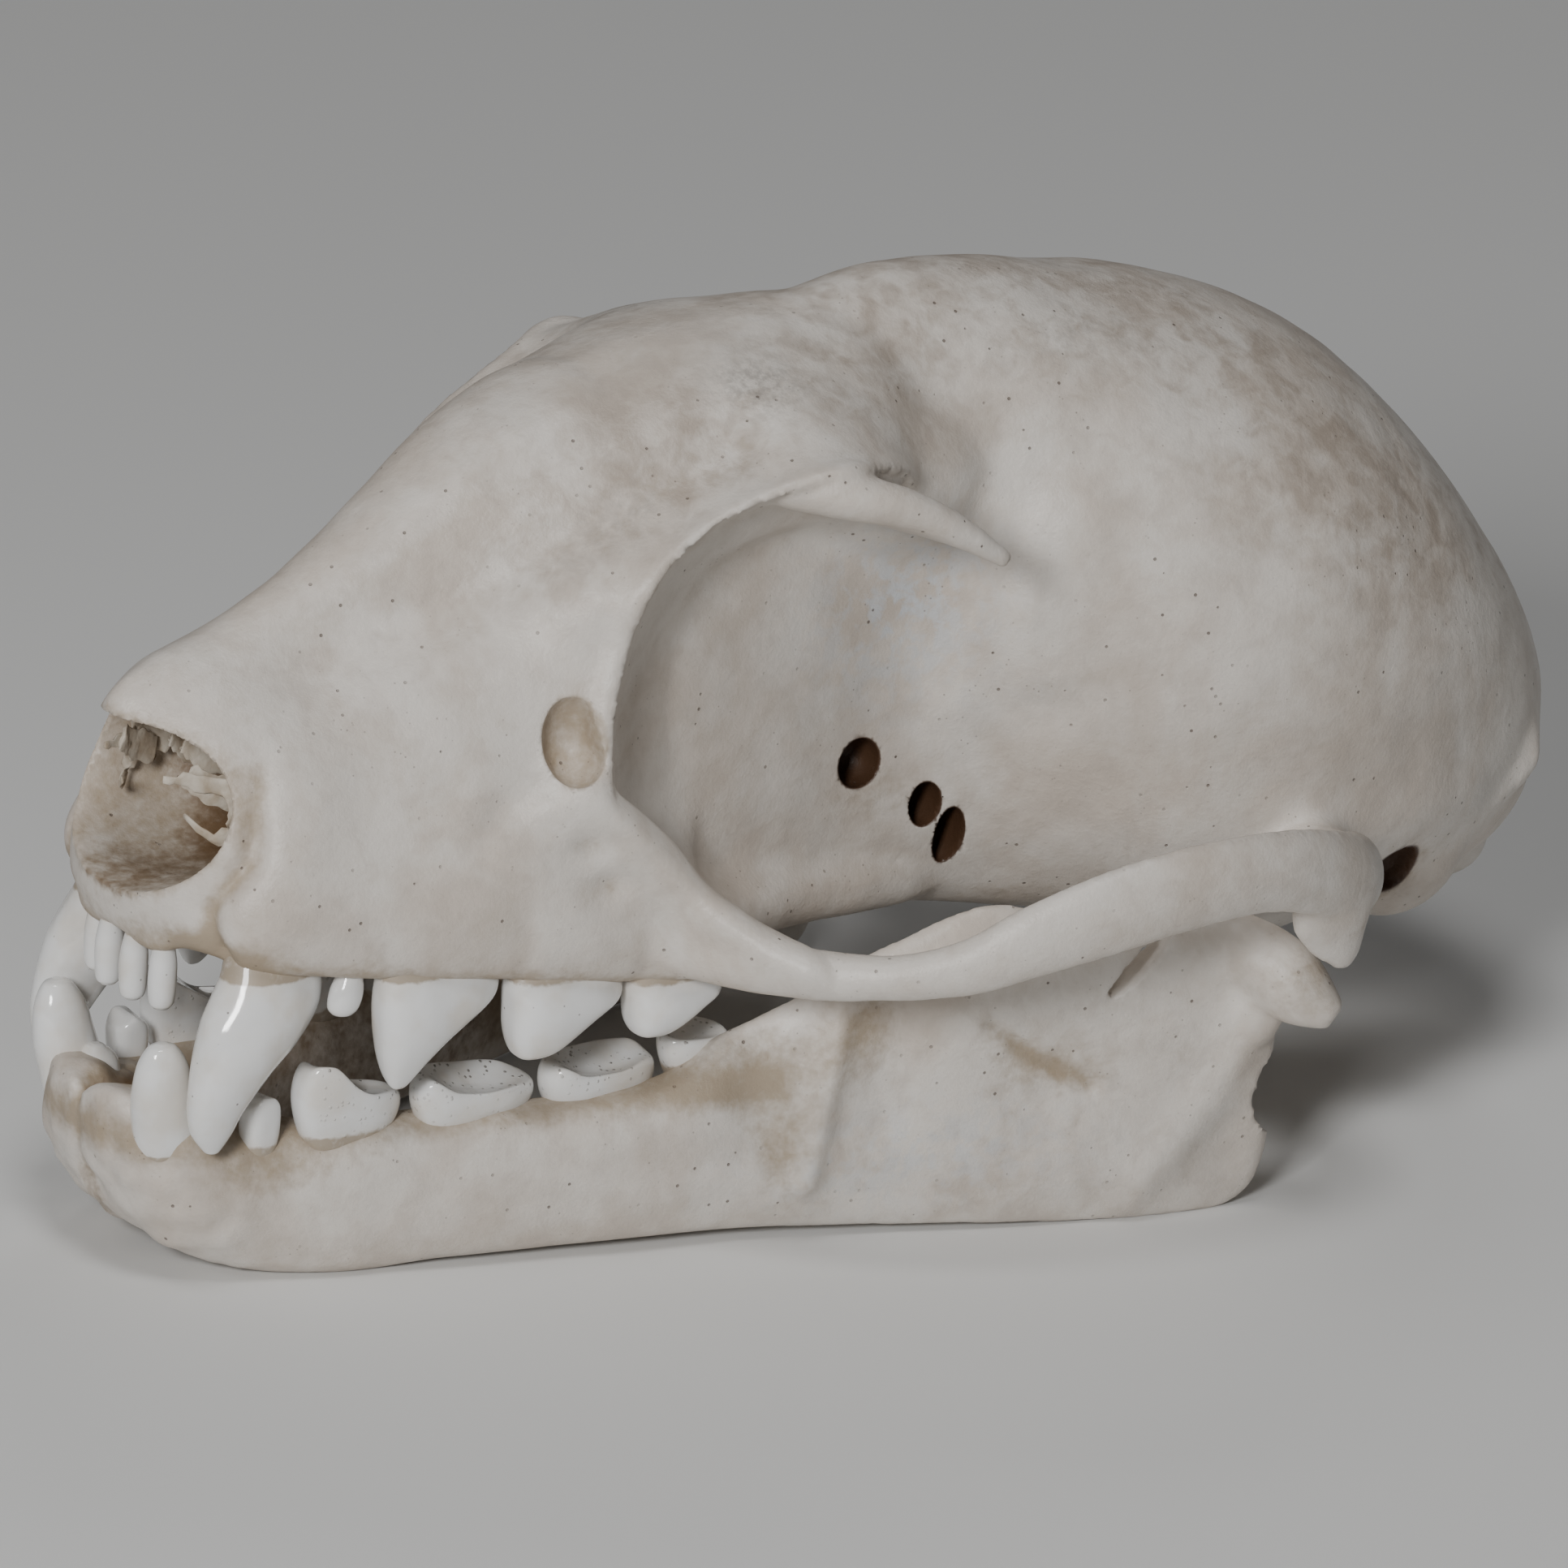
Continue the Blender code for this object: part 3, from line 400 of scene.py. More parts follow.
# Lines of the bone's relief and stains: x, distance from the middle, z.
SNOUT_GROOVE = [(-12.12, 1.8, 12.42), (-10.29, 2.2, 12.93), (-8.45, 2.6, 13.6),
                (-6.54, 2.9, 14.31), (-4.26, 3.2, 15.12)]
SNOUT_TOP_RIDGE = [(-12.2, 0.9, 13.1), (-9.6, 1.1, 14.6), (-7.0, 1.2, 15.8)]
CHEEK_PITS = [(-7.95, 4.7, 8.55), (-7.55, 4.7, 7.7), (-10.5, 4.5, 9.9)]
EYE_TOOTH_ROOT = [(-13.8, 2.9, 7.2), (-13.5, 2.9, 8.6), (-12.9, 2.7, 10.2)]
SNOUT_SEAM = [(-13.6, 2.3, 10.9), (-13.96, 2.6, 9.89), (-14.17, 2.7, 8.86),
              (-14.76, 2.3, 7.87), (-14.6, 2.5, 6.96)]
TEMPLE_RIDGE = [(1.4, 3.0, 9.4), (1.68, 3.0, 10.17), (2.29, 3.1, 11.04), (2.95, 3.3, 11.8),
                (3.2, 3.9, 12.6)]
BACK_CREST = [(15.15, 0.0, 9.6), (15.2, 1.8, 8.5), (14.8, 3.3, 7.0), (13.8, 4.7, 5.7),
              (12.7, 5.3, 5.0)]
ARCH_ROOT_RIDGE = [(7.6, 6.0, 6.3), (9.6, 6.2, 6.1), (12.4, 5.6, 5.9)]
# Where the relief changes: distance from the middle at which the cheek starts, the same of
# the arches, back end of the snout.
CHEEK_SIDE = 3.4
ARCH_SIDE = 9.2
SNOUT_END = -4.4
# Lines on the cheek and on the outer side of the jaw, seen square from the side.
CHEEK_CREST = [(-8.3, 0, 10.1), (-8.0, 0, 9.55), (-7.2, 0, 8.75), (-6.66, 0, 8.15),
               (-6.16, 0, 7.55), (-5.7, 0, 7.05), (-5.2, 0, 6.65), (-4.73, 0, 6.35)]
CHEEK_HOLLOW = [(-9.3, 0, 9.2), (-8.2, 0, 8.2), (-7.2, 0, 7.3), (-6.3, 0, 6.5)]
MUSCLE_RIDGE = [(-2.7, 0, 5.1), (-3.11, 0, 3.31), (-3.45, 0, 1.3)]
MUSCLE_HOLLOW = [(-4.35, 0, 4.2), (-4.45, 0, 2.4)]
MUSCLE_PIT = [(-1.7, 0, 4.6), (-2.1, 0, 2.4)]
JOINT_RIDGE = [(5.3, 0, 3.8), (4.3, 0, 2.2), (2.9, 0, 0.6)]
BRANCH_CREASE = [(-0.1, 0, 4.11), (0.9, 0, 3.3), (1.95, 0, 2.69)]

# Relief of the skin. Bands: height, line, radius. Spots: height, centre, half sizes.
CRANIUM_BANDS = [
    (-0.5, SNOUT_GROOVE, 1.0),
    (0.2, SNOUT_TOP_RIDGE, 0.8),
    (0.2, EYE_TOOTH_ROOT, 0.8),
    (-0.22, SNOUT_SEAM, 0.2),
    (0.15, TEMPLE_RIDGE, 0.8),
    (0.14, ARCH_ROOT_RIDGE, 0.6),
]
CRANIUM_SPOTS = [
    (-0.12, (0.6, 2.7, 10.0), (1.0, 1.0, 1.6)),
    (-0.12, (9.6, 5.8, 7.6), (3.0, 1.6, 1.0)),
    (-0.14, (-8.7, 4.0, 10.4), (0.9, 1.2, 0.9)),
] + [(-0.2, place, (0.44, 0.9, 0.32)) for place in CHEEK_PITS]
CHEEK_BANDS = [(0.2, CHEEK_CREST, 0.32), (-0.24, CHEEK_HOLLOW, 0.65)]
JAW_BANDS = [
    (0.26, MUSCLE_RIDGE, 0.32),
    (-0.16, MUSCLE_HOLLOW, 0.6),
    (-0.14, MUSCLE_PIT, 0.6),
    (-0.1, BRANCH_CREASE, 0.16),
    (0.18, JOINT_RIDGE, 0.5),
]
JAW_SPOTS = [
    (-0.22, (1.0, 0, 2.9), (1.5, 1, 1.3)),
    (-0.14, (4.8, 0, 0.9), (0.8, 1, 0.9)),
]

# Places where the joined bodies flow into each other: strength, centre, half sizes.
FRONT_JOINS = [
    (1.0, (-7.6, 3.7, 12.2), (2.2, 1.6, 2.2)),
    (1.0, (-8.6, 2.4, 13.8), (1.8, 1.8, 1.2)),
    (1.0, (-13.4, 2.9, 8.6), (1.6, 0.9, 1.2)),
]
CRANIUM_JOINS = [
    (1.0, (0.8, 2.8, 14.6), (2.2, 1.8, 1.8)),
    (1.0, (-7.5, 4.7, 7.8), (1.2, 0.9, 2.1)),
    (0.7, (-5.2, 5.2, 6.0), (1.2, 1.0, 0.9)),
    (1.0, (7.6, 5.6, 5.8), (1.6, 1.4, 1.4)),
    (1.0, (-3.4, 3.2, 6.4), (2.4, 1.8, 1.5)),
    (1.0, (-5.8, 3.3, 7.2), (1.4, 1.3, 1.4)),
    (1.0, (1.8, 3.4, 9.6), (1.6, 1.4, 2.6)),
    (1.5, (-2.8, 3.0, 12.6), (3.2, 1.1, 1.2)),
    (1.0, (0.0, 3.0, 12.2), (2.2, 1.1, 1.4)),
    (1.0, (-0.3, 4.1, 13.9), (0.9, 0.8, 0.7)),
    (0.5, (-2.8, 4.4, 14.9), (1.2, 0.9, 0.4)),
    (1.0, (5.6, 9.3, 7.3), (1.2, 0.8, 0.8)),
    (1.0, (10.5, 4.0, 4.0), (4.0, 2.0, 1.6)),
]
JAW_JOINS = [
    (1.0, (4.9, 7.2, 4.6), (0.9, 0.7, 0.9)),
    (1.0, (-14.8, 0.0, 1.6), (1.2, 1.6, 1.2)),
]
JOIN_ROUNDS = 40
JAW_JOIN_ROUNDS = 16

# Stains: strength, centre, half sizes. Those of the jaw's outer side are seen from the side.
CRANIUM_STAINS = [
    (0.7, (-15.0, 1.0, 7.05), (0.8, 1.5, 0.5)),
    (0.42, (-14.2, 2.6, 7.1), (0.8, 0.9, 0.6)),
    (0.3, (6.2, 9.3, 6.2), (0.7, 0.9, 0.9)),
    (0.6, (10.3, 5.2, 4.6), (1.1, 1.0, 1.1)),
    (0.3, (14.8, 3.6, 5.0), (1.6, 1.6, 1.4)),
    (0.4, (-0.2, 2.7, 7.5), (1.4, 1.0, 0.7)),
    (0.3, (2.4, 3.4, 4.9), (2.2, 1.6, 0.8)),
] + [(0.3, place, (0.42, 0.9, 0.32)) for place in CHEEK_PITS]
MOTTLED_BANDS = [
    (0.9, [(0.0, 0, 16.9), (6.0, 1.5, 16.0), (7.6, 4.0, 14.4), (9.6, 4.6, 12.2),
            (12.5, 3.0, 11.0)], 2.2),
    (0.6, [(-7.5, 2.0, 15.5), (-3.1, 2.5, 16.2), (-0.5, 2.5, 15.5)], 1.3),
    # Along the snout groove: brown mottling and painted shade of the groove.
    (0.6, SNOUT_GROOVE, 0.9),
]
CRANIUM_DIRT = [
    (1.0, (-3.1, 2.5, 16.1), (0.9, 0.9, 0.6)),
    (0.5, (4.2, 2.6, 16.2), (2.0, 1.0, 0.8)),
]
# Grey along the snout groove: dirt and painted shade of the groove.
SNOUT_GROOVE_DIRT_AND_SHADE = [(0.5, [(-11.0, 2.2, 12.8), (-6.0, 3.0, 14.5)], 0.5)]
JAW_SIDE_STAINS = [
    (0.55, (-4.2, 0, 3.6), (1.5, 1, 0.8)),
    (0.58, (-2.4, 0, 4.3), (0.8, 1, 0.8)),
    (0.62, (-3.9, 0, 2.0), (0.6, 1, 1.1)),
    (0.55, (-13.6, 0, 2.6), (1.4, 1, 0.45)),
    (0.4, (0.8, 0, 3.2), (1.6, 1, 0.7)),
]
JAW_STAINS = [
    (0.6, (5.6, 8.4, 4.7), (0.9, 1.2, 0.7)),
    (0.6, (-14.9, 0.6, 3.7), (1.2, 1.1, 0.5)),
]

# Studio, in metres and watts: lamp's name, place, size and power.
LAMPS = [
    ("key", (-0.16, -0.12, 0.1), 0.045, 0.3),
    ("top", (-0.04, -0.05, 0.19), 0.05, 0.09),
    ("rim", (0.1, 0.12, 0.14), 0.06, 0.03),
]
LAMP_AIM = (0, 0, 0.008)
SKY_GREY = (0.8, 0.8, 0.8, 1)
SKY_STRENGTH = 0.05
FLOOR_SIZE = 3.0
CAMERA_SIDE = math.radians(36)
CAMERA_RISE = math.radians(21)
CAMERA_ROLL = math.radians(2.5)
CAMERA_DISTANCE = 0.22
CAMERA_TARGET = (-0.0004, 0.0, 0.00684)
SENSOR = 36.0
PHOTO_PIXELS = 1932
PIXELS_PER_METRE = 65000


def only(body):
    """Make a body the only selected one."""
    bpy.ops.object.select_all(action="DESELECT")
    body.select_set(True)
    bpy.context.view_layer.objects.active = body


def apply(body, kind, **settings):
    """Give a body a modifier and apply it."""
    only(body)
    modifier = body.modifiers.new("step", kind)
    for key, value in settings.items():
        setattr(modifier, key, value)
    bpy.ops.object.modifier_apply(modifier=modifier.name)


def joined(name, bodies):
    only(bodies[0])
    for body in bodies:
        body.select_set(True)
    bpy.ops.object.join()
    bodies[0].name = name
    return bodies[0]


def points_of(body):
    flat = np.empty(len(body.data.vertices) * 3)
    body.data.vertices.foreach_get("co", flat)
    return flat.reshape(-1, 3)


def move_points(body, points):
    body.data.vertices.foreach_set("co", points.ravel())
    body.data.update()


def normals_of(body):
    flat = np.empty(len(body.data.vertices) * 3)
    body.data.vertex_normals.foreach_get("vector", flat)
    return flat.reshape(-1, 3)


def spread(rows, count):
    """Evenly spaced rows of a smooth curve through the given rows."""
    rows = np.array(rows, float)
    last = len(rows) - 1
    padded = np.vstack([2 * rows[0] - rows[1], rows, 2 * rows[-1] - rows[-2]])
    result = []
    for t in np.linspace(0.0, last, count):
        i = min(int(t), last - 1)
        u = t - i
        a, b, c, d = padded[i:i + 4]
        result.append(0.5 * (2 * b + (c - a) * u + (2 * a - 5 * b + 4 * c - d) * u ** 2
                             + (3 * b - a - 3 * c + d) * u ** 3))
    return result


def bulge(angles, power):
    """Cosine and sine of the angles, squared off by a power above 2."""
    c, s = np.cos(angles), np.sin(angles)
    return (np.sign(c) * np.abs(c) ** (2 / power), np.sign(s) * np.abs(s) ** (2 / power))


def round_about(count):
    """Evenly spaced angles of a full turn."""
    return np.linspace(0, 2 * math.pi, count, endpoint=False)


def bone_ring(row):
    """Cross-section of the skull from one of its rows."""
    x, top, widest, bottom, half_width, upper_power, lower_power = row
    angles = round_about(BONE_POINTS)
    cu, su = bulge(angles, upper_power)
    cl, sl = bulge(angles, lower_power)
    upper = np.sin(angles) >= 0
    y = half_width * np.where(upper, cu, cl)
    z = widest + np.where(upper, (top - widest) * su, (widest - bottom) * sl)
    return np.column_stack([np.full(BONE_POINTS, x), y, z])


def level_ring(x, y, z, half_length, half_width, count=EYE_TOOTH_POINTS, power=2.0):
    """Flat oval ring at one height."""
    c, s = bulge(round_about(count), power)
    return np.column_stack([x + half_length * c, y + half_width * s, np.full(count, z)])


def bar_rings(rows, count, side):
    """Oval rings square to the path of a rounded bar."""
    centres = [Vector((row[0], side * row[1], row[2])) for row in rows]
    angles = round_about(count)
    rings = []
    for i, row in enumerate(rows):
        before = centres[max(i - 1, 0)]
        after = centres[min(i + 1, len(rows) - 1)]
        along = (after - before).normalized()
        guide = Vector((0, 0, 1)) if abs(along.z) < 0.8 else Vector((1, 0, 0))
        across = along.cross(guide).normalized()
        up = across.cross(along)
        rings.append(np.array(centres[i]) + np.outer(np.sin(angles) * row[3], up)
                     + np.outer(np.cos(angles) * row[4], across))
    return rings


def skin_over(name, rings):
    """Closed body over a row of rings, each end drawn to a point in its middle."""
    count = len(rings[0])
    points = [p for ring in rings for p in ring]
    faces = []
    for i in range(len(rings) - 1):
        for k in range(count):
            j = (k + 1) % count
            faces.append((i * count + k, i * count + j, (i + 1) * count + j, (i + 1) * count + k))
    for start, ring in ((0, rings[0]), ((len(rings) - 1) * count, rings[-1])):
        pole = len(points)
        points.append(np.mean(ring, axis=0))
        faces += [(start + k, start + (k + 1) % count, pole) for k in range(count)]
    mesh = bpy.data.meshes.new(name)
    mesh.from_pydata([tuple(p) for p in points], [], faces)
    body = bpy.data.objects.new(name, mesh)
    bpy.context.scene.collection.objects.link(body)
    face_outward(body)
    return body


def face_outward(body):
    only(body)
    bpy.ops.object.mode_set(mode="EDIT")
    bpy.ops.mesh.select_all(action="SELECT")
    bpy.ops.mesh.normals_make_consistent(inside=False)
    bpy.ops.object.mode_set(mode="OBJECT")


def egg(name, place, side=RIGHT, power=2.0, segments=48):
    """Rounded block: its centre and half sizes."""
    centre, half = place
    bpy.ops.object.select_all(action="DESELECT")
    bpy.ops.mesh.primitive_uv_sphere_add(segments=segments, ring_count=segments // 2, radius=1.0)
    body = bpy.context.object
    body.name = name
    points = points_of(body)
    points /= (np.abs(points) ** power).sum(axis=1, keepdims=True) ** (1 / power)
    move_points(body, points * half + (centre[0], side * centre[1], centre[2]))
    return body


def knit(name, bodies):
    """Join bodies that sink into each other into one even skin."""
    whole = joined(name, bodies)
    apply(whole, "REMESH", mode="VOXEL", voxel_size=VOXEL)
    return whole


def carve(body, cutters):
    for cutter in cutters:
        apply(body, "BOOLEAN", operation="DIFFERENCE", object=cutter, solver="MANIFOLD")
        bpy.data.objects.remove(cutter)


def relax(body, repeat, weights=None):
    """Smooth the skin, all over or by a weight for each point."""
    rounds = round(repeat * (COARSE_VOXEL / VOXEL) ** 2)
    settings = {"factor": 0.5, "iterations": rounds}
    if weights is not None:
        group = body.vertex_groups.new(name="relax")
        for step in range(1, 11):
            indices = np.nonzero(np.round(weights * 10) == step)[0]
            if len(indices):
                group.add(indices.tolist(), step / 10, "REPLACE")
        settings["vertex_group"] = group.name
    apply(body, "SMOOTH", **settings)
    body.vertex_groups.clear()


def folded(points):
    """The points with the left side laid over the right one."""
    return np.column_stack([points[:, 0], np.abs(points[:, 1]), points[:, 2]])


def distance_to(points, line):
    """Distance of each point from a line of places, which stands for both sides."""
    places = folded(points)
    line = np.array(line, float)
    nearest = np.full(len(places), np.inf)
    for a, b in zip(line, line[1:]):
        along = b - a
        share = np.clip((places - a) @ along / (along @ along), 0, 1)
        gap = places - a - share[:, None] * along
        nearest = np.minimum(nearest, np.sqrt((gap ** 2).sum(axis=1)))
    return nearest


def near(points, line, radius):
    """Soft band round a line: 1 on it, fading to 0 past the radius."""
    return np.exp(-(distance_to(points, line) / radius) ** 2)


def spot(points, centre, half):
    """Soft egg-shaped spot on both sides: 1 at its centre."""
    return np.exp(-(((folded(points) - centre) / half) ** 2).sum(axis=1))


def bands(points, rows):
    """Sum of soft bands: strength, line, radius."""
    return sum(strength * near(points, line, radius) for strength, line, radius in rows)


def spots(points, rows):
    """Sum of soft spots: strength, centre, half sizes."""
    return sum(strength * spot(points, centre, half) for strength, centre, half in rows)


def fade(values, start, length):
    """0 up to the start, then rising to 1 over the length, which may be negative."""
    return np.clip((values - start) / length, 0, 1)


def ripple(points, size, seed=0.0):
    """Smooth random values between about -1 and 1."""
    shift = Vector((seed, seed * 1.7, -seed))
    return np.array([noise.noise(Vector(p) / size + shift) for p in points])


def raise_by(body, heights):
    """Push each point along its normal."""
    move_points(body, points_of(body) + normals_of(body) * heights[:, None])


def hollowness(body, rounds=6):
    """How hollow the skin is at each point, below 0 where it bulges."""
    points = points_of(body)
    edges = np.empty(len(body.data.edges) * 2, dtype=int)
    body.data.edges.foreach_get("vertices", edges)
    a, b = edges.reshape(-1, 2).T
    count = np.bincount(np.concatenate([a, b]), minlength=len(points)).clip(1)[:, None]

    def neighbours(values):
        total = np.zeros_like(values)
        np.add.at(total, a, values[b])
        np.add.at(total, b, values[a])
        return total / count

    smoothed = points
    for _ in range(rounds):
        smoothed = neighbours(smoothed)
    value = ((smoothed - points) * normals_of(body)).sum(axis=1, keepdims=True)
    for _ in range(3):
        value = neighbours(value)
    return value[:, 0]


def paint(body, name, values):
    """Store a value for each point, which the material reads."""
    layer = body.data.attributes.new(name, "FLOAT", "POINT")
    layer.data.foreach_set("value", np.clip(values, 0, 1).astype(np.float32))


def lighten(body, most):
    """Thin the skin's triangles where it is nearly flat."""
    apply(body, "TRIANGULATE")
    count = len(body.data.polygons)
    if count > most:
        apply(body, "DECIMATE", ratio=most / count)


def settle(body, name, material):
    """Turn a finished body level, bring it to metres and let it ride on the frame."""
    turn = Matrix.Translation(LEVEL_SHIFT) @ Matrix.Rotation(-LEVEL_TURN, 4, "Y")
    body.data.transform(Matrix.Scale(MM, 4) @ turn)
    move_points(body, np.clip(points_of(body), *INNER_BOX))
    body.name = name
    body.data.name = name
    body.data.materials.clear()
    body.data.materials.append(material)
    only(body)
    bpy.ops.object.shade_smooth()
    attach(body, "root")
    return body


def mirrored(body, name):
    """Copy of a left piece for the right side."""
    only(body)
    bpy.ops.object.duplicate()
    copy = bpy.context.object
    copy.name = name
    copy.data.transform(Matrix.Scale(-1, 4, (0, 1, 0)))
    copy.data.flip_normals()
    return copy


def upper_gum(x):
    """Height of the line where the upper teeth leave the bone."""
    share = (x - UPPER_GUM_FRONT[0]) / (UPPER_GUM_BACK[0] - UPPER_GUM_FRONT[0])
    return UPPER_GUM_FRONT[1] + share * (UPPER_GUM_BACK[1] - UPPER_GUM_FRONT[1])


class Field:
    """A value or colour that varies over a surface, with ordinary arithmetic."""

    def __init__(self, recipe, socket):
        self.recipe = recipe
        self.socket = socket

    def _sum(self, operation, first, second):
        return self.recipe.node("ShaderNodeMath", {"operation": operation}, (first, second))

    def __add__(self, other):
        return self._sum("ADD", self, other)

    def __radd__(self, other):
        return self._sum("ADD", other, self)

    def __sub__(self, other):
        return self._sum("SUBTRACT", self, other)

    def __rsub__(self, other):
        return self._sum("SUBTRACT", other, self)

    def __mul__(self, other):
        return self._sum("MULTIPLY", self, other)

    def __rmul__(self, other):
        return self._sum("MULTIPLY", other, self)

    def most(self, other):
        return self._sum("MAXIMUM", self, other)

    def ramp(self, low, high, start=0.0, end=1.0):
        """Smooth step from start to end as the value goes from low to high."""
        return self.recipe.node("ShaderNodeMapRange", {"interpolation_type": "SMOOTHSTEP"},
                                (self, low, high, start, end))

    def blend(self, first, second):
        """Colour that goes from the first to the second as this value goes from 0 to 1."""
        return self.recipe.node("ShaderNodeMix", {"data_type": "RGBA"},
                                {0: self, 6: first, 7: second}, output=2)


class Recipe:
    """A material under construction."""

    def __init__(self, name):
        self.material = bpy.data.materials.new(name)
        self.material.use_nodes = True
        self.tree = self.material.node_tree
        self.shader = self.tree.nodes["Principled BSDF"]
        places = self.tree.nodes.new("ShaderNodeTexCoord")
        self.place = self.node("ShaderNodeVectorMath", {"operation": "SCALE"},
                               {0: Field(self, places.outputs["Object"]), 3: 1 / MM})

    def node(self, kind, settings=None, inputs=(), output=0):
        """Add a node; inputs are values or fields by socket number or name."""
        node = self.tree.nodes.new(kind)
        for key, value in (settings or {}).items():
            setattr(node, key, value)
        pairs = inputs.items() if isinstance(inputs, dict) else enumerate(inputs)
        for key, value in pairs:
            if isinstance(value, Field):
                self.tree.links.new(value.socket, node.inputs[key])
            else:
                node.inputs[key].default_value = value
        return Field(self, node.outputs[output])

    def cloud(self, size, detail=2.0, roughness=0.5, warp=0.0, seed=0.0):
        """Soft random field with patches of this size in millimetres."""
        return self.node("ShaderNodeTexNoise", {"noise_dimensions": "4D"},
                         {"Vector": self.place, "W": seed, "Scale": 1 / size, "Detail": detail,
                          "Roughness": roughness, "Distortion": warp})

    def cells(self, size):
        """Distance from the nearest of scattered points, in cell widths."""
        return self.node("ShaderNodeTexVoronoi", {},
                         {"Vector": self.place, "Scale": 1 / size})

    def mark(self, name):
        """Value painted on the piece's points."""
        return self.node("ShaderNodeAttribute", {"attribute_name": name}, output=2)

    def finish(self, colour, rough, heights=(), coat=None):
        """Connect colour, roughness and layers of relief: height field and depth in mm."""
        self.tree.links.new(colour.socket, self.shader.inputs["Base Color"])
        if isinstance(rough, Field):
            self.tree.links.new(rough.socket, self.shader.inputs["Roughness"])
        else:
            self.shader.inputs["Roughness"].default_value = rough
        if coat is not None:
            self.shader.inputs["Coat Weight"].default_value = coat
        normal = None
        for field, depth in heights:
            inputs = {"Height": field, "Distance": depth * MM}
            if normal is not None:
                inputs["Normal"] = normal
            normal = self.node("ShaderNodeBump", {}, inputs)
        if normal is not None:
            self.tree.links.new(normal.socket, self.shader.inputs["Normal"])
        return self.material


CLEAN_BONE = (0.71, 0.665, 0.61, 1)
WARM_BONE = (0.62, 0.55, 0.48, 1)
BROWN_BONE = (0.43, 0.365, 0.305, 1)
# Brown of real stains, also used for the painted shade that the stain mark carries.
GUM_STAIN = (0.37, 0.29, 0.2, 1)
# Dark brown painted shade for the deepest recesses.
DEEP_SHADE = (0.17, 0.105, 0.055, 1)
# Near-black painted shade for the walls of the holes.
HOLE_SHADE = (0.07, 0.035, 0.018, 1)
GREY_DIRT = (0.3, 0.27, 0.24, 1)
SPECK_BROWN = (0.12, 0.09, 0.07, 1)
GHOST_GREY = (0.6, 0.62, 0.64, 1)
ENAMEL_WHITE = (0.86, 0.86, 0.85, 1)
ENAMEL_CREAM = (0.78, 0.74, 0.68, 1)
SHEET_TAN = (0.62, 0.56, 0.47, 1)
SHEET_BROWN = (0.4, 0.32, 0.23, 1)
FLOOR_GREY = (0.78, 0.78, 0.77, 1)
FLOOR_PALE = (0.8, 0.8, 0.79, 1)


def dry_bone():
    """Clean museum bone: pale, matte, mottled, with stains and painted shade where the points are
    marked.
    """
    r = Recipe("dry_bone")
    mottle = r.cloud(2.6, 4.0, 0.6, 0.4, 3.0)
    blotch = r.cloud(0.55, 3.0, 0.6, 0.6, 8.0)
    grain = r.cloud(0.07, 3.0, 0.65, 0.0, 1.0)
    colour = mottle.ramp(0.38, 0.66).blend(CLEAN_BONE, WARM_BONE)
    mottled = r.mark("mottled") * (mottle * 0.6 + blotch * 0.7).ramp(0.52, 0.86)
    colour = mottled.blend(colour, BROWN_BONE)
    ghost = r.mark("ghost") * r.cloud(0.35, 3.0, 0.6, 0.3, 5.0).ramp(0.42, 0.62)
    colour = (ghost * 0.95).blend(colour, GHOST_GREY)
    dirt = r.mark("dirt") * r.cloud(0.16, 2.0, 0.6, 0.0, 2.0).ramp(0.35, 0.7)
    colour = (dirt * 0.8).blend(colour, GREY_DIRT)
    ragged = blotch * 0.5 + r.cloud(0.2, 2.0, 0.6, 0.2, 4.0) * 0.5
    # The stain mark holds real stains and also painted shade in hollows, under the palate, inside
    # the nose and on the jaw's inner side.
    stain = (r.mark("stain") * 1.5 + ragged * 1.7 - 1.08).ramp(0.0, 1.05)
    colour = (stain * 0.9).blend(colour, GUM_STAIN)
    # The deep mark is painted shade: deep in the nose, under the palate, inside the ear hole and
    # on the jaw's inner side.
    deep = (r.mark("deep") * 1.5 + ragged - 0.8).ramp(0.0, 0.7)
    colour = deep.blend(colour, DEEP_SHADE)
    # The hole mark paints shade into the holes and turns their walls near black.
    colour = r.mark("hole").ramp(0.25, 0.75).blend(colour, HOLE_SHADE)
    scatter = r.cloud(1.4, 1.0, 0.5, 0.0, 9.0).ramp(0.4, 0.62)
    speck = r.cells(0.36).ramp(0.06, 0.1, 1.0, 0.0) * scatter
    fine_scatter = r.cloud(0.8, 1.0, 0.5, 0.0, 6.0).ramp(0.5, 0.7)
    fine_speck = r.cells(0.17).ramp(0.08, 0.14, 1.0, 0.0) * fine_scatter
    colour = (speck.most(fine_speck * 0.7) * 0.75).blend(colour, SPECK_BROWN)
    rough = 0.38 + grain * 0.12 + stain * 0.1 - r.mark("worn") * 0.08
    heights = [(r.cloud(1.1, 3.0, 0.5, 0.2, 7.0), 0.05),
               (grain, 0.012),
               (r.cloud(0.22, 2.0, 0.5, 0.4, 5.0), 0.012),
               (1.0 - speck, 0.02)]
    return r.finish(colour, rough, heights)


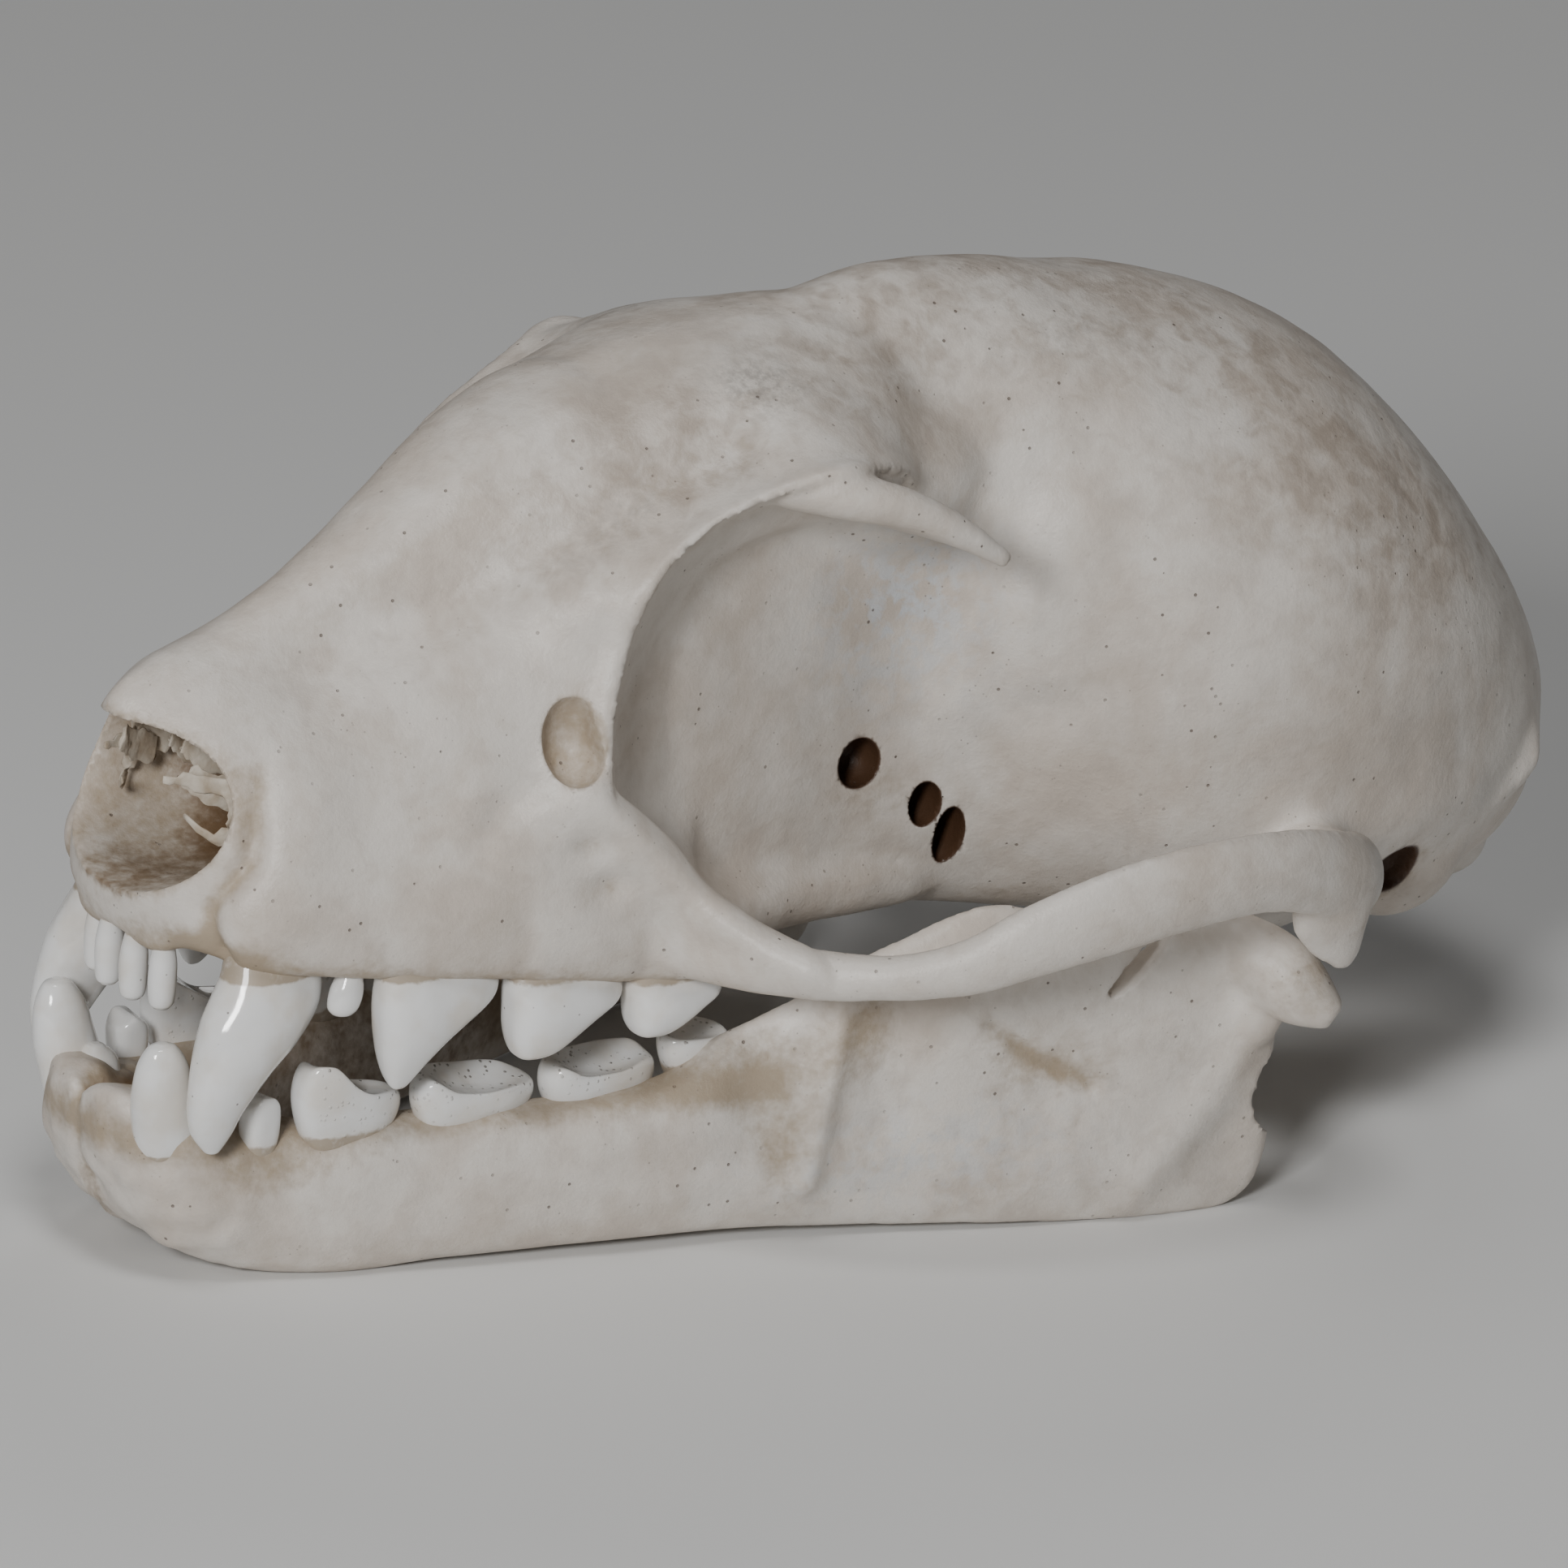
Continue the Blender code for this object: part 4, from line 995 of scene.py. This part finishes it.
def tooth_enamel():
    """Glossy white enamel, creamier and stained at the neck."""
    r = Recipe("tooth_enamel")
    colour = r.cloud(0.9, 3.0, 0.5, 0.2, 2.0).ramp(0.4, 0.7).blend(ENAMEL_WHITE, ENAMEL_CREAM)
    neck = r.mark("neck")
    colour = (neck.ramp(0.0, 1.0) * 0.55).blend(colour, ENAMEL_CREAM)
    ragged = r.cloud(0.18, 2.0, 0.6, 0.3, 3.0)
    stain = (neck * 1.4 + ragged - 1.4).ramp(0.0, 0.5)
    colour = (stain * 0.85).blend(colour, GUM_STAIN)
    grit = r.mark("grit") * r.cells(0.13).ramp(0.14, 0.26, 1.0, 0.0)
    grit = grit * r.cloud(0.3, 1.0, 0.5, 0.0, 4.0).ramp(0.35, 0.6)
    colour = (grit * 0.8).blend(colour, GREY_DIRT)
    speck = r.cells(0.5).ramp(0.03, 0.06, 1.0, 0.0)
    colour = (speck * 0.7).blend(colour, SPECK_BROWN)
    rough = 0.08 + ragged * 0.1 + grit * 0.4 + stain * 0.35
    heights = [(r.cloud(0.5, 2.0, 0.5, 0.2, 7.0), 0.02), (grit, 0.03)]
    return r.finish(colour, rough, heights, coat=0.6)


def thin_bone():
    """Paper-thin bone sheets in the nose."""
    r = Recipe("thin_bone")
    colour = r.cloud(0.5, 3.0, 0.6, 0.3, 2.0).ramp(0.35, 0.7).blend(SHEET_TAN, SHEET_BROWN)
    return r.finish(colour, 0.6, [(r.cloud(0.15, 2.0, 0.5, 0.2, 1.0), 0.02)])


def studio_floor():
    r = Recipe("studio_floor")
    colour = r.cloud(30.0, 2.0, 0.5, 0.0, 1.0).blend(FLOOR_GREY, FLOOR_PALE)
    return r.finish(colour, 0.7)


bone = dry_bone()
enamel = tooth_enamel()
sheet_bone = thin_bone()


def face_and_brow():
    """Snout and brow in one skin, with the eye sockets cut into it."""
    face = skin_over("face", [bone_ring(row) for row in spread(FACE_ROWS, 90)])
    brow = skin_over("brow", [bone_ring(row) for row in spread(BROW_ROWS, 60)])
    roots = [egg("root", place, side) for side in SIDES
             for place in (EYE_TOOTH_ROOT_LUMP, INCISOR_RIDGE)]
    front = knit("front", [face, brow] + roots)
    points = points_of(front)
    relax(front, JOIN_ROUNDS, np.clip(spots(points, FRONT_JOINS), 0, 1))
    carve(front, [egg("socket", ORBIT, side, ORBIT_POWER, 96) for side in SIDES])
    return front


def rear_and_sides():
    """Bodies that the front is knitted to: braincase, palate, arches, spines and lumps."""
    bodies = [egg("temple", TEMPLE_FILL, side) for side in SIDES]
    bodies += [skin_over("brain", [bone_ring(row) for row in spread(BRAINCASE_ROWS, 110)]),
               skin_over("palate", [bone_ring(row) for row in spread(PALATE_ROWS, 40)])]
    for side in SIDES:
        bodies += [skin_over(name, bar_rings(spread(rows, rings), count, side))
                   for name, rows, rings, count in SIDE_BARS]
        bodies += [egg(name, place, side) for name, place in SIDE_LUMPS]
    return bodies


def nose_cutter():
    rings = []
    angles = round_about(CUTTER_POINTS)
    for x, half_width, half_height in spread(NOSE_ROWS, 30):
        rings.append(np.column_stack([np.full(CUTTER_POINTS, x), half_width * np.cos(angles),
                                      NOSE_HEIGHT + half_height * np.sin(angles)]))
    return skin_over("nose", rings)


def infraorbital_cutter(side):
    """Egg with its back cut off flat, parallel to the rim of the eye socket."""
    body = egg("infraorbital", INFRAORBITAL_HOLE, side)
    points = points_of(body)
    lean = 0.1 * (points[:, 2] - INFRAORBITAL_HOLE[0][2])
    points[:, 0] = np.minimum(points[:, 0], INFRAORBITAL_BACK - lean)
    move_points(body, points)
    return body


def socket_reach(points):
    """1 on the wall of the eye socket, less inside it, more outside."""
    centre, half = ORBIT
    reach = np.abs((folded(points) - centre) / half) ** ORBIT_POWER
    return reach.sum(axis=1) ** (1 / ORBIT_POWER)


def cranium_relief(points):
    """Height in millimetres that the modelled skin is raised or sunk by at each point."""
    x, y, z = folded(points).T
    heights = bands(points, CRANIUM_BANDS) + spots(points, CRANIUM_SPOTS)
    heights += bands(points * (1, 0, 1), CHEEK_BANDS) * fade(y, CHEEK_SIDE, 0.5) * (x < SNOUT_END)
    heights += 0.28 * near(points, BACK_CREST, 0.28) * (1 + 0.5 * ripple(points, 0.7, 2.0))
    reach = socket_reach(points)
    rim = fade(y, CHEEK_SIDE, 1 / 3) * fade(z, 9.2, 0.6) * (x > -9.0) * (reach > 1.004)
    heights += 0.16 * np.exp(-((reach - 1.02) / 0.04) ** 2) * rim
    for front, back, _, middle, _, half, _ in UPPER_CHEEK_TEETH.values():
        socket = ((front + back) / 2, middle + half, upper_gum(front) + 0.7)
        gap = (back + 0.06, middle + half, upper_gum(back) + 0.5)
        heights += spots(points, [(0.09, socket, ((back - front) * 0.42, 1.2, 0.9)),
                                  (-0.07, gap, (0.22, 1.0, 0.8))])
    heights += 0.05 * ripple(points, 2.3, 1.0) + 0.02 * ripple(points, 0.8, 5.0)
    return heights * np.clip(ARCH_SIDE - y, 0.15, 1)


def hole_depth(points, holes):
    """How deep each point lies in the given holes: 0.5 at the rim, 1 inside, 0 outside."""
    depth = np.zeros(len(points))
    for centre, half in holes:
        reach = np.sqrt((((folded(points) - centre) / half) ** 2).sum(axis=1))
        depth = np.maximum(depth, np.clip(0.5 + (1.06 - reach) * 5, 0, 1))
    return depth


def paint_cranium(body):
    points = points_of(body)
    x, y, z = folded(points).T
    hollow = hollowness(body)
    # in_nose: painted shade inside the nose, in the stain and deep marks, darkest deep in and low
    # down.
    in_nose = np.clip(1.25 - ((z - NOSE_HEIGHT) / 1.75) ** 2 - (y / 2.35) ** 2, 0, 1)
    in_nose = np.clip(in_nose * 4, 0, 1) * fade(x, -11.5, -0.3)
    gum = upper_gum(x)
    gum_edge = np.exp(-((z - gum + 0.15) / 0.42) ** 2) * fade(y, 1.4, 0.5) * (x < -4.6)
    # palate: painted shade under the palate and inside the mouth, in the stain and deep marks.
    palate = fade(z, gum - 0.1, -0.3) * fade(y, 3.4, -0.8) * (x < -3.0)
    stain = 0.62 * gum_edge + 0.62 * near(points, SNOUT_SEAM, 0.24)
    # Along the snout groove the stain is brown pigment and painted shade of the groove.
    stain += 0.24 * near(points, SNOUT_GROOVE, 0.8) + spots(points, CRANIUM_STAINS)
    stain += 0.64 * hole_depth(points, [INFRAORBITAL_HOLE]) + 0.5 * in_nose + 0.6 * palate
    deep = in_nose * (0.45 * fade(z, 8.25, -0.5) + 0.75 * fade(x, -13.6, 1.2))
    # Painted shade under the palate and deep inside the ear hole.
    deep += 0.45 * palate + 0.4 * spot(points, (10.4, 5.0, 4.6), (0.8, 1.0, 0.8))
    # Painted shade in the optic, ear, spinal and sphenoid holes, through the hole mark.
    holes = [OPTIC_HOLE, EAR_HOLE, SPINAL_HOLE] + SPHENOID_HOLES
    # Hollows get extra painted shade in the stain mark.
    paint(body, "stain", stain + np.clip(hollow * 3, 0, 0.25))
    paint(body, "deep", deep)
    paint(body, "hole", hole_depth(points, holes))
    paint(body, "mottled", 0.32 + bands(points, MOTTLED_BANDS))
    paint(body, "ghost", spot(points, (0.2, 2.7, 11.2), (1.7, 1.4, 1.7)))
    paint(body, "dirt", spots(points, CRANIUM_DIRT) + bands(points, SNOUT_GROOVE_DIRT_AND_SHADE))
    paint(body, "worn", np.clip(-hollow * 12, 0, 1))


def build_cranium():
    front = face_and_brow()
    cranium = knit("cranium", [front] + rear_and_sides())
    points = points_of(cranium)
    relax(cranium, JOIN_ROUNDS, np.clip(spots(points, CRANIUM_JOINS), 0, 1))
    relax(cranium, 2)
    raise_by(cranium, cranium_relief(points_of(cranium)))
    holes = [nose_cutter(), egg("spinal_hole", SPINAL_HOLE)]
    for side in SIDES:
        holes.append(infraorbital_cutter(side))
        for place in [OPTIC_HOLE, EAR_HOLE] + SPHENOID_HOLES:
            holes.append(egg("pit", place, side))
    carve(cranium, holes)
    relax(cranium, 1)
    lighten(cranium, CRANIUM_TRIANGLES)
    paint_cranium(cranium)
    piece = settle(cranium, "cranium_bone", bone)
    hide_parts("braincase", "rostrum", "zygomatic_arch_left", "zygomatic_arch_right")
    return piece


def jaw_half(side):
    rings = []
    c, s = bulge(round_about(JAW_POINTS), JAW_POWER)
    for x, middle, bottom, top, half_thickness in spread(JAW_ROWS, 150):
        rings.append(np.column_stack([np.full(JAW_POINTS, x), side * middle + half_thickness * c,
                                      (top + bottom) / 2 + (top - bottom) / 2 * s]))
    return skin_over("jaw_half", rings)


def notch(place, side):
    """Lying bar that cuts a notch into the jaw's branch."""
    x, z, half_length, half_height, turn = place
    angles = round_about(TOOTH_POINTS)
    a, b = half_length * np.cos(angles), half_height * np.sin(angles)
    rings = []
    for middle in NOTCH_REACH:
        rings.append(np.column_stack([x + a * math.cos(turn) - b * math.sin(turn),
                                      np.full(TOOTH_POINTS, side * middle),
                                      z + a * math.sin(turn) + b * math.cos(turn)]))
    return skin_over("notch", rings)


def jaw_middle(x):
    """Distance of the jaw's branch from the skull's middle plane."""
    return np.interp(x, [row[0] for row in JAW_ROWS], [row[1] for row in JAW_ROWS])


def outer_side(points):
    """1 on the outer side of the jaw's branch, 0 on its inner side."""
    return np.clip((np.abs(points[:, 1]) - jaw_middle(points[:, 0])) * 4, 0, 1)


def jaw_relief(points):
    side_view = points * (1, 0, 1)
    heights = (bands(side_view, JAW_BANDS) + spots(side_view, JAW_SPOTS)) * outer_side(points)
    for front, back, middle, half, *_ in LOWER_CHEEK_TEETH.values():
        socket = ((front + back) / 2, middle + half, 2.7)
        heights += 0.05 * spot(points, socket, ((back - front) * 0.45, 0.9, 0.5))
    lumps = 0.05 * ripple(points, 1.8, 3.0) + 0.02 * ripple(points, 0.6, 2.0)
    heights += lumps * fade(points[:, 2], 0.25, 0.5)
    return heights + 0.09 * fade(points[:, 0], -13.6, -0.8) * ripple(points, 0.55, 8.0)


def paint_jaw(body):
    points = points_of(body)
    x, y, z = folded(points).T
    hollow = hollowness(body)
    # inner: painted shade on the jaw's inner side, carried in the stain and deep marks.
    inner = fade(y, jaw_middle(x) - 0.25, -0.4)
    side_view = points * (1, 0, 1)
    gum_edge = np.exp(-((z - 3.22) / 0.38) ** 2) * fade(x, -3.6, -1.5)
    stain = 0.66 * gum_edge + 0.45 * inner + 0.4 * near(side_view, BRANCH_CREASE, 0.26)
    stain += spots(side_view, JAW_SIDE_STAINS) + spots(points, JAW_STAINS)
    # deep: painted shade on the inner side and between the lower eye teeth.
    deep = 0.35 * inner * (x < -4) + 0.5 * spot(points, (-14.0, 0.6, 3.2), (1.2, 0.9, 0.5))
    # Hollows get extra painted shade in the stain mark.
    paint(body, "stain", stain + np.clip(hollow * 3, 0, 0.25))
    paint(body, "deep", deep)
    paint(body, "hole", np.zeros(len(points)))
    paint(body, "mottled", 0.35 + 0.4 * spot(points, (0, 6, 2), (3, 2, 2)))
    paint(body, "ghost", 0.6 * spot(points, (-1.0, 5.9, 1.6), (3.5, 1.5, 1.0)))
    paint(body, "dirt", 0.5 * spot(points, (-4.6, 4.3, 3.6), (1.4, 0.8, 0.5)))
    paint(body, "worn", np.clip(-hollow * 12, 0, 1))


def build_jaw():
    bodies = [egg("chin", CHIN_LUMP)]
    for side in SIDES:
        bodies.append(jaw_half(side))
        bodies.append(skin_over("roll", bar_rings(spread(JOINT_ROLL_ROWS, 30), 28, side)))
        bodies.append(egg("neck", JOINT_NECK, side))
    jaw = knit("jaw", bodies)
    carve(jaw, [notch(place, side) for place in (JOINT_NOTCH, REAR_NOTCH) for side in SIDES])
    points = points_of(jaw)
    relax(jaw, JAW_JOIN_ROUNDS, np.clip(spots(points, JAW_JOINS), 0, 1))
    relax(jaw, 2)
    raise_by(jaw, jaw_relief(points_of(jaw)))
    level_floor(jaw)
    lighten(jaw, JAW_TRIANGLES)
    paint_jaw(jaw)
    piece = settle(jaw, "lower_jaw_bone", bone)
    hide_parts("mandible_left", "mandible_right")
    return piece


def level_floor(body):
    """Press flat what reaches below the floor that the jaw rests on."""
    points = points_of(body)
    floor = -points[:, 0] * math.tan(LEVEL_TURN) - LEVEL_SHIFT[2] / math.cos(LEVEL_TURN)
    points[:, 2] = np.maximum(points[:, 2], floor)
    move_points(body, points)


def cheek_tooth(name, size):
    """Upper cheek tooth of the left side: a blade with a heel behind its tip."""
    front, back, tip_x, middle, tip_z, half_width, sharp = size
    gum = upper_gum((front + back) / 2)
    rings = []
    outline = SHARP_OUTLINE if sharp else BLUNT_OUTLINE
    for share, front_share, back_share, width in spread(outline, 30):
        z = gum + (tip_z - gum) * share if share > 0 else gum - share * 2 * TOOTH_SINK
        x0 = front + (tip_x - front) * front_share
        x1 = back + (tip_x - back) * back_share
        rings.append(level_ring((x0 + x1) / 2, -middle - TIP_LEAN * max(share, 0), z,
                                (x1 - x0) / 2, half_width * width, TOOTH_POINTS, BLADE_POWER))
    body = skin_over(name, rings)
    finish_tooth(body, gum, UPWARD, CROWN_LUMPS)
    return body


def crown(name, size):
    """Lower cheek tooth of the left side: a wall, two crests and the basin between them."""
    front, back, middle, half_width, gum, height, basin, outer, inner = size
    centre, half_length = (front + back) / 2, (back - front) / 2
    c, s = bulge(round_about(TOOTH_POINTS), CROWN_POWER)

    def top(u, v):
        crest = np.interp(u, *zip(*outer)) * (1 - v) / 2 + np.interp(u, *zip(*inner)) * (1 + v) / 2
        return gum + height * crest - basin * (1 - v ** 2) * (1 - u ** 2)

    rings = []
    for share, swell in CROWN_WALL:
        z = gum + (top(c, s) - gum) * share if share > 0 else np.full(TOOTH_POINTS, gum + share)
        rings.append(np.column_stack([centre + half_length * swell * c,
                                      half_width * swell * s - middle, z]))
    for swell in CROWN_TOP:
        rings.append(np.column_stack([centre + half_length * swell * c,
                                      half_width * swell * s - middle, top(c * swell, s * swell)]))
    body = skin_over(name, rings)
    apply(body, "SMOOTH", factor=0.5, iterations=2)
    finish_tooth(body, gum, DOWNWARD, CROWN_LUMPS)
    return body


def finish_tooth(body, gum, toward_bone, lump):
    """Soften a tooth, give it small lumps and mark its neck and grit."""
    apply(body, "SUBSURF", levels=1, render_levels=1)
    points = points_of(body)
    raise_by(body, lump * ripple(points, 0.6, 4.0))
    points = points_of(body)
    height = (gum - points[:, 2]) * toward_bone  # out of the bone
    up = np.clip(normals_of(body)[:, 2], 0, 1)
    paint(body, "neck", np.exp(-np.clip(height, 0, None) / NECK_HEIGHT))
    paint(body, "grit", (up + 0.3) * (toward_bone == DOWNWARD) * (points[:, 0] > GRIT_FRONT))


def eye_tooth(name, rows, gum, toward_bone):
    rings = [level_ring(x, -middle, z, half_length, half_width)
             for x, middle, z, half_length, half_width in spread(rows, 50)]
    body = skin_over(name, rings)
    finish_tooth(body, gum, toward_bone, EYE_TOOTH_LUMPS)
    return body


def incisor(name, x, middle):
    gum = upper_gum(x)
    rows = [(x + shift, middle, (gum if at_gum else INCISOR_TIP) + rise, half_length, half_width)
            for at_gum, shift, rise, half_length, half_width in INCISOR_ROWS]
    return eye_tooth(name, rows, gum - 0.2, UPWARD)


def build_teeth():
    teeth = [eye_tooth("upper_eye_tooth", UPPER_EYE_TOOTH, 6.55, UPWARD),
             eye_tooth("upper_peg_tooth", UPPER_PEG_TOOTH, 6.5, UPWARD),
             eye_tooth("lower_eye_tooth", LOWER_EYE_TOOTH, 3.0, DOWNWARD),
             eye_tooth("lower_eye_tooth_heel", LOWER_EYE_TOOTH_HEEL, 3.2, DOWNWARD)]
    for number, (x, middle) in enumerate(INCISOR_PLACES, 1):
        teeth.append(incisor("upper_incisor_%d" % number, x, middle))
    for name, size in UPPER_CHEEK_TEETH.items():
        teeth.append(cheek_tooth(name, size))
    for name, size in LOWER_CHEEK_TEETH.items():
        teeth.append(crown(name, size))
    for tooth in teeth:
        name = tooth.name
        other = mirrored(tooth, name + "_right")
        settle(tooth, name + "_left", enamel)
        settle(other, name + "_right", enamel)


def build_nose_sheets():
    for number, rows in enumerate(NOSE_SHEETS, 1):
        sheet = skin_over("nose_sheet", bar_rings(spread(rows, 24), 24, LEFT))
        points = points_of(sheet)
        tear = 0.1 * ripple(points, 0.28, number) + 0.06 * ripple(points, 0.12, number + 3)
        points[:, 2] += tear
        points[:, 0] += 0.5 * tear[::-1]
        move_points(sheet, points)
        other = mirrored(sheet, "nose_sheet_right_%d" % number)
        settle(sheet, "nose_sheet_left_%d" % number, sheet_bone)
        settle(other, "nose_sheet_right_%d" % number, sheet_bone)


def build_studio():
    """Pale floor and soft lights; build_camera() sets the camera at the photo's viewing angle."""
    bpy.ops.object.select_all(action="DESELECT")
    bpy.ops.mesh.primitive_plane_add(size=FLOOR_SIZE, location=(0, 0, 0))
    floor = bpy.context.object
    floor.name = "floor"
    floor.data.materials.append(studio_floor())
    world = bpy.data.worlds.new("studio")
    world.use_nodes = True
    world.node_tree.nodes["Background"].inputs["Color"].default_value = SKY_GREY
    world.node_tree.nodes["Background"].inputs["Strength"].default_value = SKY_STRENGTH
    bpy.context.scene.world = world
    for name, place, size, power in LAMPS:
        bpy.ops.object.light_add(type="AREA", location=place)
        lamp = bpy.context.object
        lamp.name = name
        lamp.data.size = size
        lamp.data.energy = power
        toward = Vector(LAMP_AIM) - Vector(place)
        lamp.rotation_euler = toward.to_track_quat("-Z", "Y").to_euler()


def build_camera():
    back = Vector((-math.sin(CAMERA_SIDE) * math.cos(CAMERA_RISE),
                   -math.cos(CAMERA_SIDE) * math.cos(CAMERA_RISE), math.sin(CAMERA_RISE)))
    right = (-back).cross(Vector((0, 0, 1))).normalized()
    up = right.cross(-back)
    turned_right = right * math.cos(CAMERA_ROLL) + up * math.sin(CAMERA_ROLL)
    turned_up = up * math.cos(CAMERA_ROLL) - right * math.sin(CAMERA_ROLL)
    place = Matrix((turned_right, turned_up, back)).transposed().to_4x4()
    place.translation = Vector(CAMERA_TARGET) + back * CAMERA_DISTANCE
    level = Matrix.Translation(Vector(LEVEL_SHIFT) * MM) @ Matrix.Rotation(-LEVEL_TURN, 4, "Y")
    bpy.ops.object.camera_add()
    camera = bpy.context.object
    camera.matrix_world = level @ place
    camera.data.sensor_width = SENSOR
    camera.data.lens = SENSOR * PIXELS_PER_METRE * CAMERA_DISTANCE / PHOTO_PIXELS
    camera.data.clip_start = 0.005
    bpy.context.scene.camera = camera


build_cranium()
build_jaw()
build_teeth()
build_nose_sheets()
build_studio()
build_camera()
